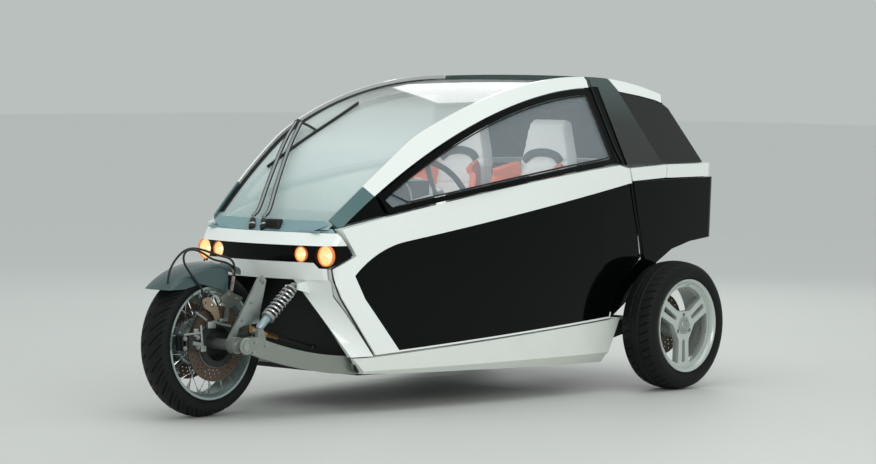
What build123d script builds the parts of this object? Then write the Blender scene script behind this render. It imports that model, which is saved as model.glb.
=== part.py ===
from build123d import *

import os
from math import cos, radians, sin, sqrt

# Three wheeled car: one motorcycle wheel in front, steered inside its hub, two wheels behind,
# a closed cabin for two, side doors hinged in front and a tail canopy that lifts.
# Millimetres. +X is the car's left, -Y its front, +Z up. Every y below is measured behind the
# front axle, and the planes shift it so that the part's origin is under its middle, on the ground.

os.makedirs("parts", exist_ok=True)

# Overall sizes
WHEELBASE = 2266.0
TAIL = 2762.0                # the tail panel, behind the front axle
SEAM = 6.0                   # gap round everything that opens
SEAM_WIDE = 10.0             # the same in front of the doors, where they swing past the nose

# Wheels
FRONT_R = 303.0
FRONT_HALF = 70.0
FRONT_RIM_R = 232.0
FRONT_RIM_HALF = 61.0
REAR_R = 287.0
REAR_HALF = 87.5
REAR_MID = 677.0             # half track
REAR_RIM_R = 208.0
MIDDLE = (TAIL - FRONT_R) / 2

# Lower body: half width in plan is two arcs that meet at the widest point, and the sides lean in
HULL_HALF = 578.0
HULL_PEAK = 1900.0
HULL_R_FORE = 6300.0
HULL_R_AFT = 9000.0
HULL_LEAN = 0.035            # mm of width for each mm of height
HULL_LEVEL = 800.0           # where HULL_HALF is measured
NOSE_R = 1100.0              # the nose's arc in plan
NOSE_TIP = 300.0             # its middle, behind the front axle
NOSE_CORNER = 40.0
TAIL_CORNER = 70.0

# Cabin sides above the belt: the same kind of plan, with a strong lean
CABIN_HALF = 553.0
CABIN_PEAK = 1600.0
CABIN_R_FORE = 2750.0
CABIN_R_AFT = 13500.0
CABIN_LEAN = 0.33
CABIN_LEVEL = 1000.0
CABIN_WALL = 34.0

# Roof line from the foot of the windscreen to the tail: start angle, then each arc's turn and radius
ROOF_FOOT = (394.0, 798.0)
ROOF_ANGLE = 40.1
ROOF_ARCS = ((5.1, 5638.0), (10.0, 699.0), (25.0, 2438.0), (16.0, 2030.0))
ROOF_CROWN = 6.0             # rise of the middle over the edges
ROOF_EDGE = 400.0            # half width at which the crown has run out
ROOF_REACH = 480.0           # half width of the swept skin before it is trimmed
SCREEN_FOOT = 762.0          # height of the windscreen's lower edge
SCREEN_DROP = 18.0           # the glass lies this far below the arches' edges
FLANGE = 10.0                # and this far inside their outer faces
GLASS = 6.0

# Window arch: its lower edge is one arc
ARCH_FOOT = (425.0, 761.0)
ARCH_ANGLE = 40.4
ARCH_TURN = 39.3
ARCH_R = 2456.0

# Side view of the panels and openings, (y, z)
BELT_TOP = ((399.0, 764.0), (1201.0, 910.0), (1987.0, 1003.0))
BELT_DIP = (2062.0, 988.0)
SEAM_TIP = (461.0, 657.0)          # rear tip of the black nose strip
SEAM_CHEEK = ((363.0, 603.0), (372.0, 561.0), (408.0, 484.0))     # the door's seam, down from the strip
SEAM_FOOT = (579.0, 241.0)
DOOR_FRONT_X = 338.0               # the door has nothing further in than this
DOOR_REAR = ((2085.0, 927.0), (2149.0, 711.0), (2183.0, 600.0))
DOOR_WALL = 36.0
PANEL_TOP = ((728.0, 708.0), (2076.0, 922.0))
PANEL_NOSE = ((595.0, 665.0), (476.0, 572.0))
PANEL_BEND = (529.0, 474.0)
PANEL_DEEP = 10.0
SASH_REAR = ((1943.0, 1342.0), (2010.0, 1010.0))
SASH_FRONT = ((616.0, 893.0), (641.0, 825.0))
SASH_RIM = 24.0
QUARTER = ((426.0, 776.0), (627.0, 821.0), (603.0, 890.0), (600.0, 905.0), (420.0, 800.0))
CAP_LOW = ((2164.0, 1328.0), (2319.0, 1308.0), (2432.0, 1289.0), (2497.0, 1271.0), (2530.0, 1253.0))
BACKLIGHT_FOOT = (2705.0, 1003.0)
TAIL_SEAM = 2340.0                 # where the canopy's belt parts from the fixed one
RING_TAIL = 2738.0                 # rear end of the canopy's belt
ARCH_CURVE = ((2762.0, 664.0), (2550.0, 646.0), (2405.0, 616.0), (2291.0, 561.0), (2150.0, 440.0))

WHEEL_CLEAR = 310.0                # the door stays this far from the rear axle
TAIL_EDGE = 301.0                  # and the fixed side behind it begins here

# Steering, hinges and other axes
AXLE_FRONT = (0.0, FRONT_R)        # (y, z)
AXLE_REAR = (WHEELBASE, REAR_R)
ROD_EYE = (145.0, 140.0, 355.0)    # steering rod's front eye
ROD_END = (145.0, 500.0, 262.0)
PIVOT = (527.0, 197.0)             # swing arms' pivot, (y, z)
PIVOT_R = 20.0
WHEEL_MID = (240.0, 1165.0, 880.0) # steering wheel
COLUMN_ANGLE = 28.0                # its axis rises towards the driver by this much
SEAT_MID = 248.0


def side(x):
    """Plane across the car at x; its own axes are (y behind the front axle, height)."""
    return Plane(origin=(x, -MIDDLE, 0), x_dir=(0, 1, 0), z_dir=(1, 0, 0))


def level(z):
    """Level plane; its own axes are (x, y behind the front axle)."""
    return Plane(origin=(0, -MIDDLE, z))


def cross(y):
    """Upright plane that faces forward; its own axes are (x, height)."""
    return Plane(origin=(0, y - MIDDLE, 0), x_dir=(1, 0, 0), z_dir=(0, -1, 0))


def spot(x, y, z):
    return Vector(x, y - MIDDLE, z)


def along(start, end):
    """Plane at start that faces end, both in (x, y, z)."""
    a, b = spot(*start), spot(*end)
    return Plane(origin=a, z_dir=b - a), (b - a).length


def finish(builder, name):
    builder.part.label = name
    export_step(builder.part, f"parts/{name}.step")


def both_sides(builder, name):
    """Writes the left piece as it is and its mirror image as the right one."""
    finish(builder, name + "_left")
    with BuildPart() as twin:
        mirror(builder.part, about=Plane.YZ)
    finish(twin, name + "_right")


def arc_half(y, half, peak, r_fore, r_aft):
    r = r_fore if y < peak else r_aft
    return half - r + sqrt(r * r - (y - peak) ** 2)


def hull_half(y, z=HULL_LEVEL):
    """Half width of the lower body."""
    return arc_half(y, HULL_HALF, HULL_PEAK, HULL_R_FORE, HULL_R_AFT) + HULL_LEAN * (z - HULL_LEVEL)


def cabin_half(y, z=CABIN_LEVEL):
    """Half width of the cabin above the belt."""
    flat = arc_half(y, CABIN_HALF, CABIN_PEAK, CABIN_R_FORE, CABIN_R_AFT)
    return flat - CABIN_LEAN * (z - CABIN_LEVEL)


def half_shape(half, peak, levels, y_rear, bulge=NOSE_R):
    """Left half of a body with two arcs a side; levels holds (height, change in half width, nose's y)."""
    y_aft = y_rear - TAIL_CORNER
    with BuildPart() as body:
        for z, change, y_nose in levels:
            def w(y):
                return half(y, z) + change

            def nose(x):
                return y_nose + x * x / (2 * bulge)
            corner_y = nose(w(y_nose + 60))
            x_bend = w(corner_y) - NOSE_CORNER
            y_side = corner_y + NOSE_CORNER
            y_mid = (y_side + peak) / 2
            cut = NOSE_CORNER * (1 - cos(radians(45)))
            turn = TAIL_CORNER * (1 - cos(radians(45)))
            edge = w(y_aft)
            with BuildSketch(level(z)):
                with BuildLine():
                    Line((0, y_rear), (0, y_nose))
                    ThreePointArc((0, y_nose), (x_bend / 2, nose(x_bend / 2)), (x_bend, nose(x_bend)))
                    bend = (w(corner_y) - cut, corner_y + cut)
                    ThreePointArc((x_bend, nose(x_bend)), bend, (w(y_side), y_side))
                    ThreePointArc((w(y_side), y_side), (w(y_mid), y_mid), (w(peak), peak))
                    ThreePointArc((w(peak), peak), (w((peak + y_aft) / 2), (peak + y_aft) / 2), (edge, y_aft))
                    ThreePointArc((edge, y_aft), (edge - turn, y_rear - turn), (edge - TAIL_CORNER, y_rear))
                    Line((edge - TAIL_CORNER, y_rear), (0, y_rear))
                make_face()
        loft(ruled=True)
    return body.part


def hull(inset, low=40.0, high=1120.0, tail=TAIL):
    """Left half of the lower body's outer shape, drawn in by inset all round."""
    nose = NOSE_TIP + inset
    return half_shape(hull_half, HULL_PEAK, ((low, -inset, nose), (high, -inset, nose)), tail - inset)


def cabin(inset, low=700.0, high=1450.0, tail=TAIL):
    nose = 340.0
    return half_shape(cabin_half, CABIN_PEAK, ((low, -inset, nose), (high, -inset, nose)), tail - inset, 9000.0)


def whole(half):
    """Left half and its mirror image as one body."""
    with BuildPart() as body:
        add(half)
        mirror(about=Plane.YZ)
    return body.part


def arc_points(start, angle, turn, radius):
    """Middle, end and end angle of an arc that bends downwards from a start angle in degrees."""
    points = []
    for part in (turn / 2, turn):
        a, b = radians(angle), radians(angle - part)
        points.append((start[0] + radius * (sin(a) - sin(b)), start[1] + radius * (cos(b) - cos(a))))
    return points[0], points[1], angle - turn


def roof_chain(lower=0.0, lead=90.0):
    """The roof line, lowered square to itself: its lead-in's start, then (start, mid, end) of each arc."""
    a = radians(ROOF_ANGLE)
    start = (ROOF_FOOT[0] + lower * sin(a), ROOF_FOOT[1] - lower * cos(a))
    first = (start[0] - lead * cos(a), start[1] - lead * sin(a))
    spans, angle = [], ROOF_ANGLE
    for turn, radius in ROOF_ARCS:
        mid, end, angle = arc_points(start, angle, turn, radius - lower)
        spans.append((start, mid, end))
        start = end
    return first, spans


def arch_line(lower=0.0):
    """Start, middle and end of the window arch's lower edge, lowered square to itself."""
    a = radians(ARCH_ANGLE)
    start = (ARCH_FOOT[0] + lower * sin(a), ARCH_FOOT[1] - lower * cos(a))
    mid, end, _ = arc_points(start, ARCH_ANGLE, ARCH_TURN, ARCH_R - lower)
    return start, mid, end


def roof_skin(drop, thick):
    """Crowned skin along the whole roof line, its top lowered by drop."""
    first, spans = roof_chain()
    a = radians(ROOF_ANGLE)
    fall = ROOF_CROWN * (1 - (ROOF_REACH / ROOF_EDGE) ** 2)
    top, low = -drop, -drop - thick
    with BuildPart() as skin:
        with BuildLine(side(0)) as path:
            Line(first, spans[0][0])
            for span in spans:
                ThreePointArc(*span)
        section = Plane(origin=spot(0, *first), x_dir=(1, 0, 0), z_dir=(0, cos(a), sin(a)))
        with BuildSketch(section):
            with BuildLine():
                ThreePointArc((-ROOF_REACH, -fall - top), (0, -ROOF_CROWN - top), (ROOF_REACH, -fall - top))
                Line((ROOF_REACH, -fall - top), (ROOF_REACH, -fall - low))
                ThreePointArc((ROOF_REACH, -fall - low), (0, -ROOF_CROWN - low), (-ROOF_REACH, -fall - low))
                Line((-ROOF_REACH, -fall - low), (-ROOF_REACH, -fall - top))
            make_face()
        sweep(path=path.wires()[0])
    return skin.part


def prism(points, x_low=0.0, x_high=800.0):
    """A side view outline of straight lines, drawn across the car."""
    with BuildPart() as body:
        with BuildSketch(side(x_low)):
            with BuildLine():
                Polyline(*points, close=True)
            make_face()
        extrude(amount=x_high - x_low)
    return body.part


def bar(start, end, radius, bore=0.0):
    """Round bar between two points given in (x, y, z)."""
    plane, length = along(start, end)
    with BuildPart() as body:
        with BuildSketch(plane):
            Circle(radius)
            if bore:
                Circle(bore, mode=Mode.SUBTRACT)
        extrude(amount=length)
    return body.part


def ring(axis, x_low, x_high, radius, bore=0.0):
    """Disc or ring round an axis that runs across the car at (y, z)."""
    return bar((x_low, *axis), (x_high, *axis), radius, bore)


HULL = hull(0)
CABIN = cabin(0)
with BuildPart() as hull_wall:
    add(HULL)
    add(hull(DOOR_WALL), mode=Mode.SUBTRACT)
with BuildPart() as cabin_wall:
    add(CABIN)
    add(cabin(CABIN_WALL), mode=Mode.SUBTRACT)


def sill_line(y):
    """Height of the top of the sill."""
    return 233.0 + (y - 580.0) * 0.0633


def wheel_edge(z, radius):
    """y of an arc round the rear axle, in front of it."""
    return WHEELBASE - sqrt(radius ** 2 - (z - REAR_R) ** 2)


def door_outline(gap, wide, radius):
    """Outline of the door below the belt; gap is taken off all round, and wide in front."""
    start = (BELT_TOP[0][0] + wide, BELT_TOP[0][1])
    low_y = wheel_edge(330.0, radius)
    low = (low_y, sill_line(low_y) + gap)
    mid = (wheel_edge(470.0, radius), 470.0)
    high = (wheel_edge(580.0, radius), 580.0)
    Polyline(
        BELT_TOP[2],
        (BELT_DIP[0] - gap, BELT_DIP[1]),
        (DOOR_REAR[0][0] - gap, DOOR_REAR[0][1]),
        (DOOR_REAR[1][0] - gap, DOOR_REAR[1][1]),
        high,
    )
    ThreePointArc(high, mid, low)
    Polyline(
        low,
        (SEAM_FOOT[0] + wide, SEAM_FOOT[1] + gap - SEAM),
        *[(y + wide, z - gap / 2) for y, z in reversed(SEAM_CHEEK)],
        (SEAM_TIP[0] + 2 * wide, SEAM_TIP[1] - gap / 2),
        start,
    )
    ThreePointArc(start, BELT_TOP[1], BELT_TOP[2])


with BuildPart() as door_hole:
    with BuildSketch(side(0)):
        with BuildLine():
            door_outline(0, 0, WHEEL_CLEAR - SEAM)
        make_face()
    extrude(amount=800)


# Doors: a white shell with the belt, a black panel let into it, a black sash and its glass
def panel_region(depth_from, shrink):
    """The black panel's space in the door's outer layer."""
    s = shrink
    rear_low = wheel_edge(400.0, WHEEL_CLEAR + 12.0 + s)
    top_rear = (PANEL_TOP[1][0] - s - 8, PANEL_TOP[1][1] - s)
    top_front = (PANEL_TOP[0][0], PANEL_TOP[0][1] - s)
    nose = (PANEL_NOSE[1][0] + s, PANEL_NOSE[1][1])
    with BuildPart() as region:
        with BuildSketch(side(0)):
            with BuildLine():
                Line(top_rear, top_front)
                ThreePointArc(top_front, (PANEL_NOSE[0][0], PANEL_NOSE[0][1] - s), nose)
                Polyline(
                    nose,
                    (PANEL_BEND[0] + s, PANEL_BEND[1]),
                    (706.0 + s, sill_line(706.0) + 14.0 + s),
                    (1953.0, sill_line(1953.0) + 14.0 + s),
                    (rear_low, 400.0),
                    (wheel_edge(500.0, WHEEL_CLEAR + 12.0 + s), 500.0),
                    (2158.0 - s, 600.0),
                    (2135.0 - s, 711.0),
                    top_rear,
                )
            make_face()
        extrude(amount=700)
        add(hull(depth_from) if depth_from else HULL, mode=Mode.INTERSECT)
        add(hull(PANEL_DEEP), mode=Mode.SUBTRACT)
    return region.part


with BuildPart() as door:
    with BuildSketch(side(DOOR_FRONT_X)):
        with BuildLine():
            door_outline(SEAM, SEAM_WIDE, WHEEL_CLEAR)
        make_face()
    extrude(amount=700)
    add(hull_wall.part, mode=Mode.INTERSECT)
    add(panel_region(0, 0.0), mode=Mode.SUBTRACT)
both_sides(door, "door")

with BuildPart() as door_panel:
    add(panel_region(2.0, 1.0))
both_sides(door_panel, "door_panel")


def sash_outline(rim):
    """Outline of the door above the belt, drawn in by the rim."""
    _, mid, _ = arch_line(SEAM + rim)
    front_top = (SASH_FRONT[0][0] + rim, SASH_FRONT[0][1] - rim * 0.6)
    front_low = (SASH_FRONT[1][0] + rim, SASH_FRONT[1][1] + rim)
    rear_top = (SASH_REAR[0][0] - rim, SASH_REAR[0][1] - rim * 1.1 - 2)
    rear_low = (SASH_REAR[1][0] - rim, SASH_REAR[1][1] + rim * 0.75)
    low_mid = (BELT_TOP[1][0], BELT_TOP[1][1] + 6.0 + rim * 0.9)
    ThreePointArc(front_top, mid, rear_top)
    Line(rear_top, rear_low)
    ThreePointArc(rear_low, low_mid, front_low)
    Line(front_low, front_top)


with BuildPart() as door_sash:
    with BuildSketch(side(0)):
        with BuildLine():
            sash_outline(0)
        make_face()
        with BuildLine():
            sash_outline(SASH_RIM)
        make_face(mode=Mode.SUBTRACT)
    extrude(amount=700)
    add(cabin_wall.part, mode=Mode.INTERSECT)
both_sides(door_sash, "door_sash")

with BuildPart() as door_glass:
    with BuildSketch(side(0)):
        with BuildLine():
            sash_outline(SASH_RIM + 1.0)
        make_face()
    extrude(amount=700)
    add(cabin(8.0), mode=Mode.INTERSECT)
    add(cabin(8.0 + GLASS), mode=Mode.SUBTRACT)
both_sides(door_glass, "door_glass")

# Windscreen and roof glass in one, the window arches under its edges, and their black feet
SCREEN_REAR = 1943.0
with BuildPart() as windscreen:
    add(roof_skin(SCREEN_DROP, GLASS))
    add(whole(cabin(FLANGE + 1.0)), mode=Mode.INTERSECT)
    add(prism(((300.0, SCREEN_FOOT), (SCREEN_REAR, SCREEN_FOOT), (SCREEN_REAR, 1480.0), (300.0, 1480.0)), -600.0, 600.0),
        mode=Mode.INTERSECT)
finish(windscreen, "windscreen")

FOOT_SPLIT = ((540.0, 955.0), (618.0, 873.0))
with BuildPart() as arch_band:
    _, spans = roof_chain()
    arch_start, arch_mid, arch_end = arch_line()
    with BuildSketch(side(0)):
        with BuildLine():
            for span in spans[:3]:
                ThreePointArc(*span)
            Line(spans[2][2], arch_end)
            ThreePointArc(arch_end, arch_mid, arch_start)
            Line(arch_start, spans[0][0])
        make_face()
    extrude(amount=700)
    add(cabin_wall.part, mode=Mode.INTERSECT)
    with BuildPart(mode=Mode.PRIVATE) as glass_bed:
        add(roof_skin(-40.0, 40.0 + SCREEN_DROP + GLASS + 1.0))
        add(cabin(FLANGE), mode=Mode.INTERSECT)
    add(glass_bed.part, mode=Mode.SUBTRACT)

FRONT_SIDE =((300.0, 600.0), (700.0, 600.0), (700.0, 787.0), FOOT_SPLIT[0], (300.0, 1250.0))
with BuildPart() as roof_arches:
    add(arch_band.part)
    add(prism(FRONT_SIDE), mode=Mode.SUBTRACT)
    add(prism(((SCREEN_REAR, 1000.0), (2300.0, 1000.0), (2300.0, 1500.0), (SCREEN_REAR, 1500.0))), mode=Mode.SUBTRACT)
    mirror(about=Plane.YZ)
finish(roof_arches, "roof_arches")

with BuildPart() as pillar_feet:
    add(arch_band.part)
    add(prism(FRONT_SIDE), mode=Mode.INTERSECT)
    add(door_hole.part, mode=Mode.SUBTRACT)
    mirror(about=Plane.YZ)
finish(pillar_feet, "pillar_feet")

with BuildPart() as quarter_panels:
    with BuildSketch(side(0)):
        with BuildLine():
            start, mid, end = arch_line(1.0)
            ThreePointArc(start, mid, end)
            Polyline(end, (end[0], start[1]), start)
        make_face()
    extrude(amount=700)
    add(prism(QUARTER), mode=Mode.INTERSECT)
    add(cabin(3.0), mode=Mode.INTERSECT)
    add(cabin(23.0), mode=Mode.SUBTRACT)
    mirror(about=Plane.YZ)
finish(quarter_panels, "quarter_panels")

# Posts behind the doors and the hoop behind them, all black
HOOP_EDGE = ((1950.0, 1480.0), (1950.0, 1393.0), (2013.0, 1357.0), (2093.0, 1002.0))
with BuildPart() as hoop:
    add(roof_skin(0.0, 42.0))
    add(whole(CABIN), mode=Mode.INTERSECT)
    add(prism(((1950.0, 1250.0), (2103.0, 1250.0), (2103.0, 1480.0), (1950.0, 1480.0)), -600.0, 600.0),
        mode=Mode.INTERSECT)
    with BuildPart(mode=Mode.PRIVATE) as leg:
        add(prism((HOOP_EDGE[1], HOOP_EDGE[2], HOOP_EDGE[3], (2369.0, 1002.0), (2154.0, 1335.0), (2103.0, 1379.0))))
        add(cabin_wall.part, mode=Mode.INTERSECT)
        mirror(about=Plane.YZ)
    add(leg.part)
    add(roof_skin(-60.0, 60.0), mode=Mode.SUBTRACT)
finish(hoop, "hoop")

with BuildPart() as door_posts:
    add(prism(((1952.0, 1392.0), (1951.0, 1343.0), (2022.0, 1008.0), (2091.0, 1003.0), (2011.0, 1356.0))))
    add(cabin(5.0), mode=Mode.INTERSECT)
    add(cabin(5.0 + 28.0), mode=Mode.SUBTRACT)
    add(roof_skin(-80.0, 80.0 + 44.0), mode=Mode.SUBTRACT)
    mirror(about=Plane.YZ)
finish(door_posts, "door_posts")

# Canopy: white cap and belt, with one dark glass round both sides and the back
CAP_FRONT = 2103.0 + SEAM + 3.0
with BuildPart() as canopy:
    add(roof_skin(0.0, 90.0))
    add(whole(CABIN), mode=Mode.INTERSECT)
    cap = ((CAP_FRONT, 1480.0), (CAP_FRONT, 1379.0), *CAP_LOW, (2560.0, 1260.0), (2500.0, 1480.0))
    add(prism(cap, -600.0, 600.0), mode=Mode.INTERSECT)
    with BuildPart(mode=Mode.PRIVATE) as belt:
        add(prism(((TAIL_SEAM + SEAM, 941.0), (TAIL_SEAM + SEAM, 1001.0), (2800.0, 1001.0), (2800.0, 941.0))))
        add(hull(0, tail=RING_TAIL), mode=Mode.INTERSECT)
        add(hull(30.0, tail=RING_TAIL), mode=Mode.SUBTRACT)
        mirror(about=Plane.YZ)
    add(belt.part)
finish(canopy, "canopy")

GLASS_LOW = 1003.0
with BuildPart() as canopy_glass:
    outer = (
        (2169.0, 1325.0), (2378.0, GLASS_LOW), BACKLIGHT_FOOT, (2529.0, 1250.0), (2497.0, 1268.0), (2432.0, 1286.0),
        (2319.0, 1305.0),
    )
    inner = (
        (2000.0, 1400.0), (2000.0, 900.0), (2770.0, 880.0), (2699.0 - 4.0, GLASS_LOW), (2521.0, 1252.0),
        (2380.0, 1400.0),
    )
    add(prism(outer))
    add(cabin(6.0), mode=Mode.INTERSECT)
    with BuildPart(mode=Mode.PRIVATE) as hollow:
        add(prism(inner, -1.0))
        add(cabin(6.0 + GLASS), mode=Mode.INTERSECT)
    add(hollow.part, mode=Mode.SUBTRACT)
    mirror(about=Plane.YZ)
finish(canopy_glass, "canopy_glass")

# Fixed belt beside the canopy's front, and the black tail below it
with BuildPart() as rear_belts:
    add(prism(((2067.0, 989.0), (2088.0, 932.0), (TAIL_SEAM, 942.0), (TAIL_SEAM, 1000.0))))
    add(hull_wall.part, mode=Mode.INTERSECT)
    mirror(about=Plane.YZ)
finish(rear_belts, "rear_belts")

TAIL_WALL = 26.0
TAIL_LAMP = (400.0, 800.0, 46.0)
with BuildPart() as tail_shell:
    high, low = (wheel_edge(580.0, TAIL_EDGE), 580.0), (wheel_edge(332.0, TAIL_EDGE), 332.0)
    with BuildSketch(side(0)):
        with BuildLine():
            Polyline(high, (2188.0, 600.0), (2155.0, 711.0), (2091.0, 930.0), (2762.0, 938.0), *ARCH_CURVE, low)
            ThreePointArc(low, (wheel_edge(470.0, TAIL_EDGE), 470.0), high)
        make_face()
    extrude(amount=700)
    add(HULL, mode=Mode.INTERSECT)
    add(hull(TAIL_WALL), mode=Mode.SUBTRACT)
    with BuildPart(mode=Mode.PRIVATE) as deck:
        add(prism(((2050.0, 690.0), (2750.0, 690.0), (2750.0, 708.0), (2050.0, 708.0))))
        add(prism(((2050.0, 690.0), (2176.0, 690.0), (2176.0, 708.0), (2050.0, 708.0)), 480.0), mode=Mode.SUBTRACT)
        add(hull(TAIL_WALL - 1.0), mode=Mode.INTERSECT)
    add(deck.part)
    with Locations((TAIL_LAMP[0], TAIL - MIDDLE - 20, TAIL_LAMP[1])):
        Cylinder(TAIL_LAMP[2], 120, rotation=(90, 0, 0), mode=Mode.SUBTRACT)
    mirror(about=Plane.YZ)
finish(tail_shell, "tail_shell")

with BuildPart() as tail_lamps:
    with Locations((TAIL_LAMP[0], TAIL - MIDDLE - 13, TAIL_LAMP[1])):
        Cylinder(TAIL_LAMP[2] - 1.0, 24, rotation=(90, 0, 0))
    mirror(about=Plane.YZ)
finish(tail_lamps, "tail_lamps")

# Nose: white band, black strip with four lamps, white lip on two legs, dark cowl
NOSE_LEVELS = ((697.0, 0.0, 280.0), (748.0, -2.0, 312.0))
with BuildPart() as nose_band:
    add(half_shape(hull_half, HULL_PEAK, NOSE_LEVELS, TAIL))
    add(half_shape(hull_half, HULL_PEAK, [(z, change - 26, y + 26) for z, change, y in NOSE_LEVELS], TAIL),
        mode=Mode.SUBTRACT)
    add(prism(((250.0, 697.0), (433.0, 697.0), (396.0, 748.0), (250.0, 748.0))), mode=Mode.INTERSECT)
    mirror(about=Plane.YZ)
finish(nose_band, "nose_band")

LAMPS = ((352.0, 656.0, 45.0, 352.0, 378.0), (240.0, 660.0, 34.0, 330.0, 372.0))     # x, z, radius, y from, to
with BuildPart() as lamp_strip:
    add(prism(((250.0, 629.0), (334.0, 629.0), (346.0, 606.0), (365.0, 606.0), (461.0, 657.0), (435.0, 695.5),
               (250.0, 695.5))))
    add(HULL, mode=Mode.INTERSECT)
    add(hull(30.0), mode=Mode.SUBTRACT)
    for x, z, radius, front, back in LAMPS:
        add(bar((x, 200.0, z), (x, back + 1.0, z), radius), mode=Mode.SUBTRACT)
    mirror(about=Plane.YZ)
finish(lamp_strip, "lamp_strip")

with BuildPart() as headlamps:
    for x, z, radius, front, back in LAMPS:
        add(bar((x, front, z), (x, back, z), radius - 1.0))
    add(prism(((300.0, 600.0), (400.0, 600.0), (400.0, 695.0), (300.0, 695.0))), mode=Mode.INTERSECT)
    mirror(about=Plane.YZ)
finish(headlamps, "headlamps")

LIP_LEVELS = ((555.0, -4.0, 310.0), (627.0, 0.0, 290.0))
LEG_TOP = ((196.0, 328.0), (361.0, 371.0), (354.7, 395.0), (190.0, 352.0))       # (x, y) at the lip
LEG_FOOT = ((393.0, 470.0), (417.0, 579.0), (392.6, 584.0), (368.6, 475.0))      # and at the sill
with BuildPart() as nose_frame:
    add(half_shape(hull_half, HULL_PEAK, LIP_LEVELS, TAIL))
    add(half_shape(hull_half, HULL_PEAK, [(z, change - 26, y + 26) for z, change, y in LIP_LEVELS], TAIL),
        mode=Mode.SUBTRACT)
    add(prism(((250.0, 555.0), (374.0, 555.0), (372.0, 561.0), (362.0, 603.0), (345.0, 604.0), (333.0, 627.0),
               (250.0, 627.0))), mode=Mode.INTERSECT)
    with BuildPart(mode=Mode.PRIVATE) as leg:
        with BuildSketch(level(557.0)):
            with BuildLine():
                Polyline(*LEG_TOP, close=True)
            make_face()
        with BuildSketch(level(236.0)):
            with BuildLine():
                Polyline(*LEG_FOOT, close=True)
            make_face()
        loft(ruled=True)
    add(leg.part)
    add(prism(((298.0, 515.0), (298.0, 543.0), (380.0, 549.0), (380.0, 494.0)), 247.0, 257.0))
    add(door_hole.part, mode=Mode.SUBTRACT)
    mirror(about=Plane.YZ)
finish(nose_frame, "nose_frame")

COWL_LEVELS = ((749.0, -9.0, 322.0), (796.0, -42.0, 349.0))
with BuildPart() as cowl:
    add(half_shape(hull_half, HULL_PEAK, COWL_LEVELS, TAIL))
    add(half_shape(hull_half, HULL_PEAK, [(z, change - 24, y + 24) for z, change, y in COWL_LEVELS], TAIL),
        mode=Mode.SUBTRACT)
    add(prism(((250.0, 749.0), (398.0, 749.0), (393.0, 796.0), (250.0, 796.0))), mode=Mode.INTERSECT)
    add(prism(((344.0, 749.0), (430.0, 749.0), (430.0, 756.0), (344.0, 756.0)), 0.0, 320.0))
    add(roof_skin(SCREEN_DROP - 4.0, GLASS + 8.0), mode=Mode.SUBTRACT)
    mirror(about=Plane.YZ)
finish(cowl, "cowl")

# Wipers: motor box, two arms side by side and one blade
WIPER_ARMS = (
    ((-38.0, 322.0, 756.0), (-62.0, 352.0, 803.0), (-74.0, 398.0, 834.0), (-152.0, 528.0, 934.0),
     (-234.0, 670.0, 1041.0), (-296.0, 786.0, 1123.0), (-366.0, 918.0, 1193.0)),
    ((30.0, 321.0, 756.0), (3.0, 350.0, 802.0), (-10.0, 395.0, 832.0), (-94.0, 521.0, 929.0),
     (-182.0, 660.0, 1035.0), (-249.0, 773.0, 1114.0), (-324.0, 900.0, 1186.0)),
)
WIPER_BLADE = ((-284.0, 655.0, 997.0), (-223.0, 804.0, 1107.0), (-208.0, 976.0, 1194.0), (-246.0, 1179.0, 1270.0))
WIPER_YOKE = (-216.0, 890.0, 1150.0)
with BuildPart() as wipers:
    for arm in WIPER_ARMS:
        for start, end in zip(arm, arm[1:]):
            add(bar(start, end, 5.5))
        for point in arm[1:-1]:
            with Locations(spot(*point)):
                Sphere(5.6)
        add(bar(arm[0], arm[1], 13.0))
    for start, end in zip(WIPER_BLADE, WIPER_BLADE[1:]):
        add(bar(start, end, 6.0))
    for point in WIPER_BLADE[1:3]:
        with Locations(spot(*point)):
            Sphere(6.1)
    add(bar(WIPER_ARMS[0][-1], WIPER_ARMS[1][-1], 6.5))
    add(bar(WIPER_YOKE, WIPER_ARMS[1][-1], 5.0))
    with Locations(spot(78.0, 336.0, 777.0)):
        Box(76, 34, 44)
    for neighbour in (cowl, nose_band, windscreen):
        add(neighbour.part, mode=Mode.SUBTRACT)
finish(wipers, "wipers")

# Sills, floor with firewall and bulkhead
SILL_LEVELS = ((130.0, -25.0, 430.0), (177.0, 12.0, 400.0), (332.0, -4.0, 400.0))
SILL_SIDE = (
    (482.0, 231.0), (580.0, 232.0), (2034.0, 324.0), (1932.0, 162.0), (1935.0, 131.0), (1590.0, 137.0),
    (1183.0, 148.0), (816.0, 155.0), (529.0, 165.0),
)
with BuildPart() as sills:
    add(half_shape(hull_half, HULL_PEAK, SILL_LEVELS, TAIL))
    add(half_shape(hull_half, HULL_PEAK, [(z, change - 60, y) for z, change, y in SILL_LEVELS], TAIL),
        mode=Mode.SUBTRACT)
    add(prism(SILL_SIDE), mode=Mode.INTERSECT)
    add(ring(PIVOT, 250.0, 376.0, 60.0), mode=Mode.SUBTRACT)
    add(ring(PIVOT, 367.0, 386.0, PIVOT_R + 1.0), mode=Mode.SUBTRACT)
    mirror(about=Plane.YZ)
finish(sills, "sills")

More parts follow.
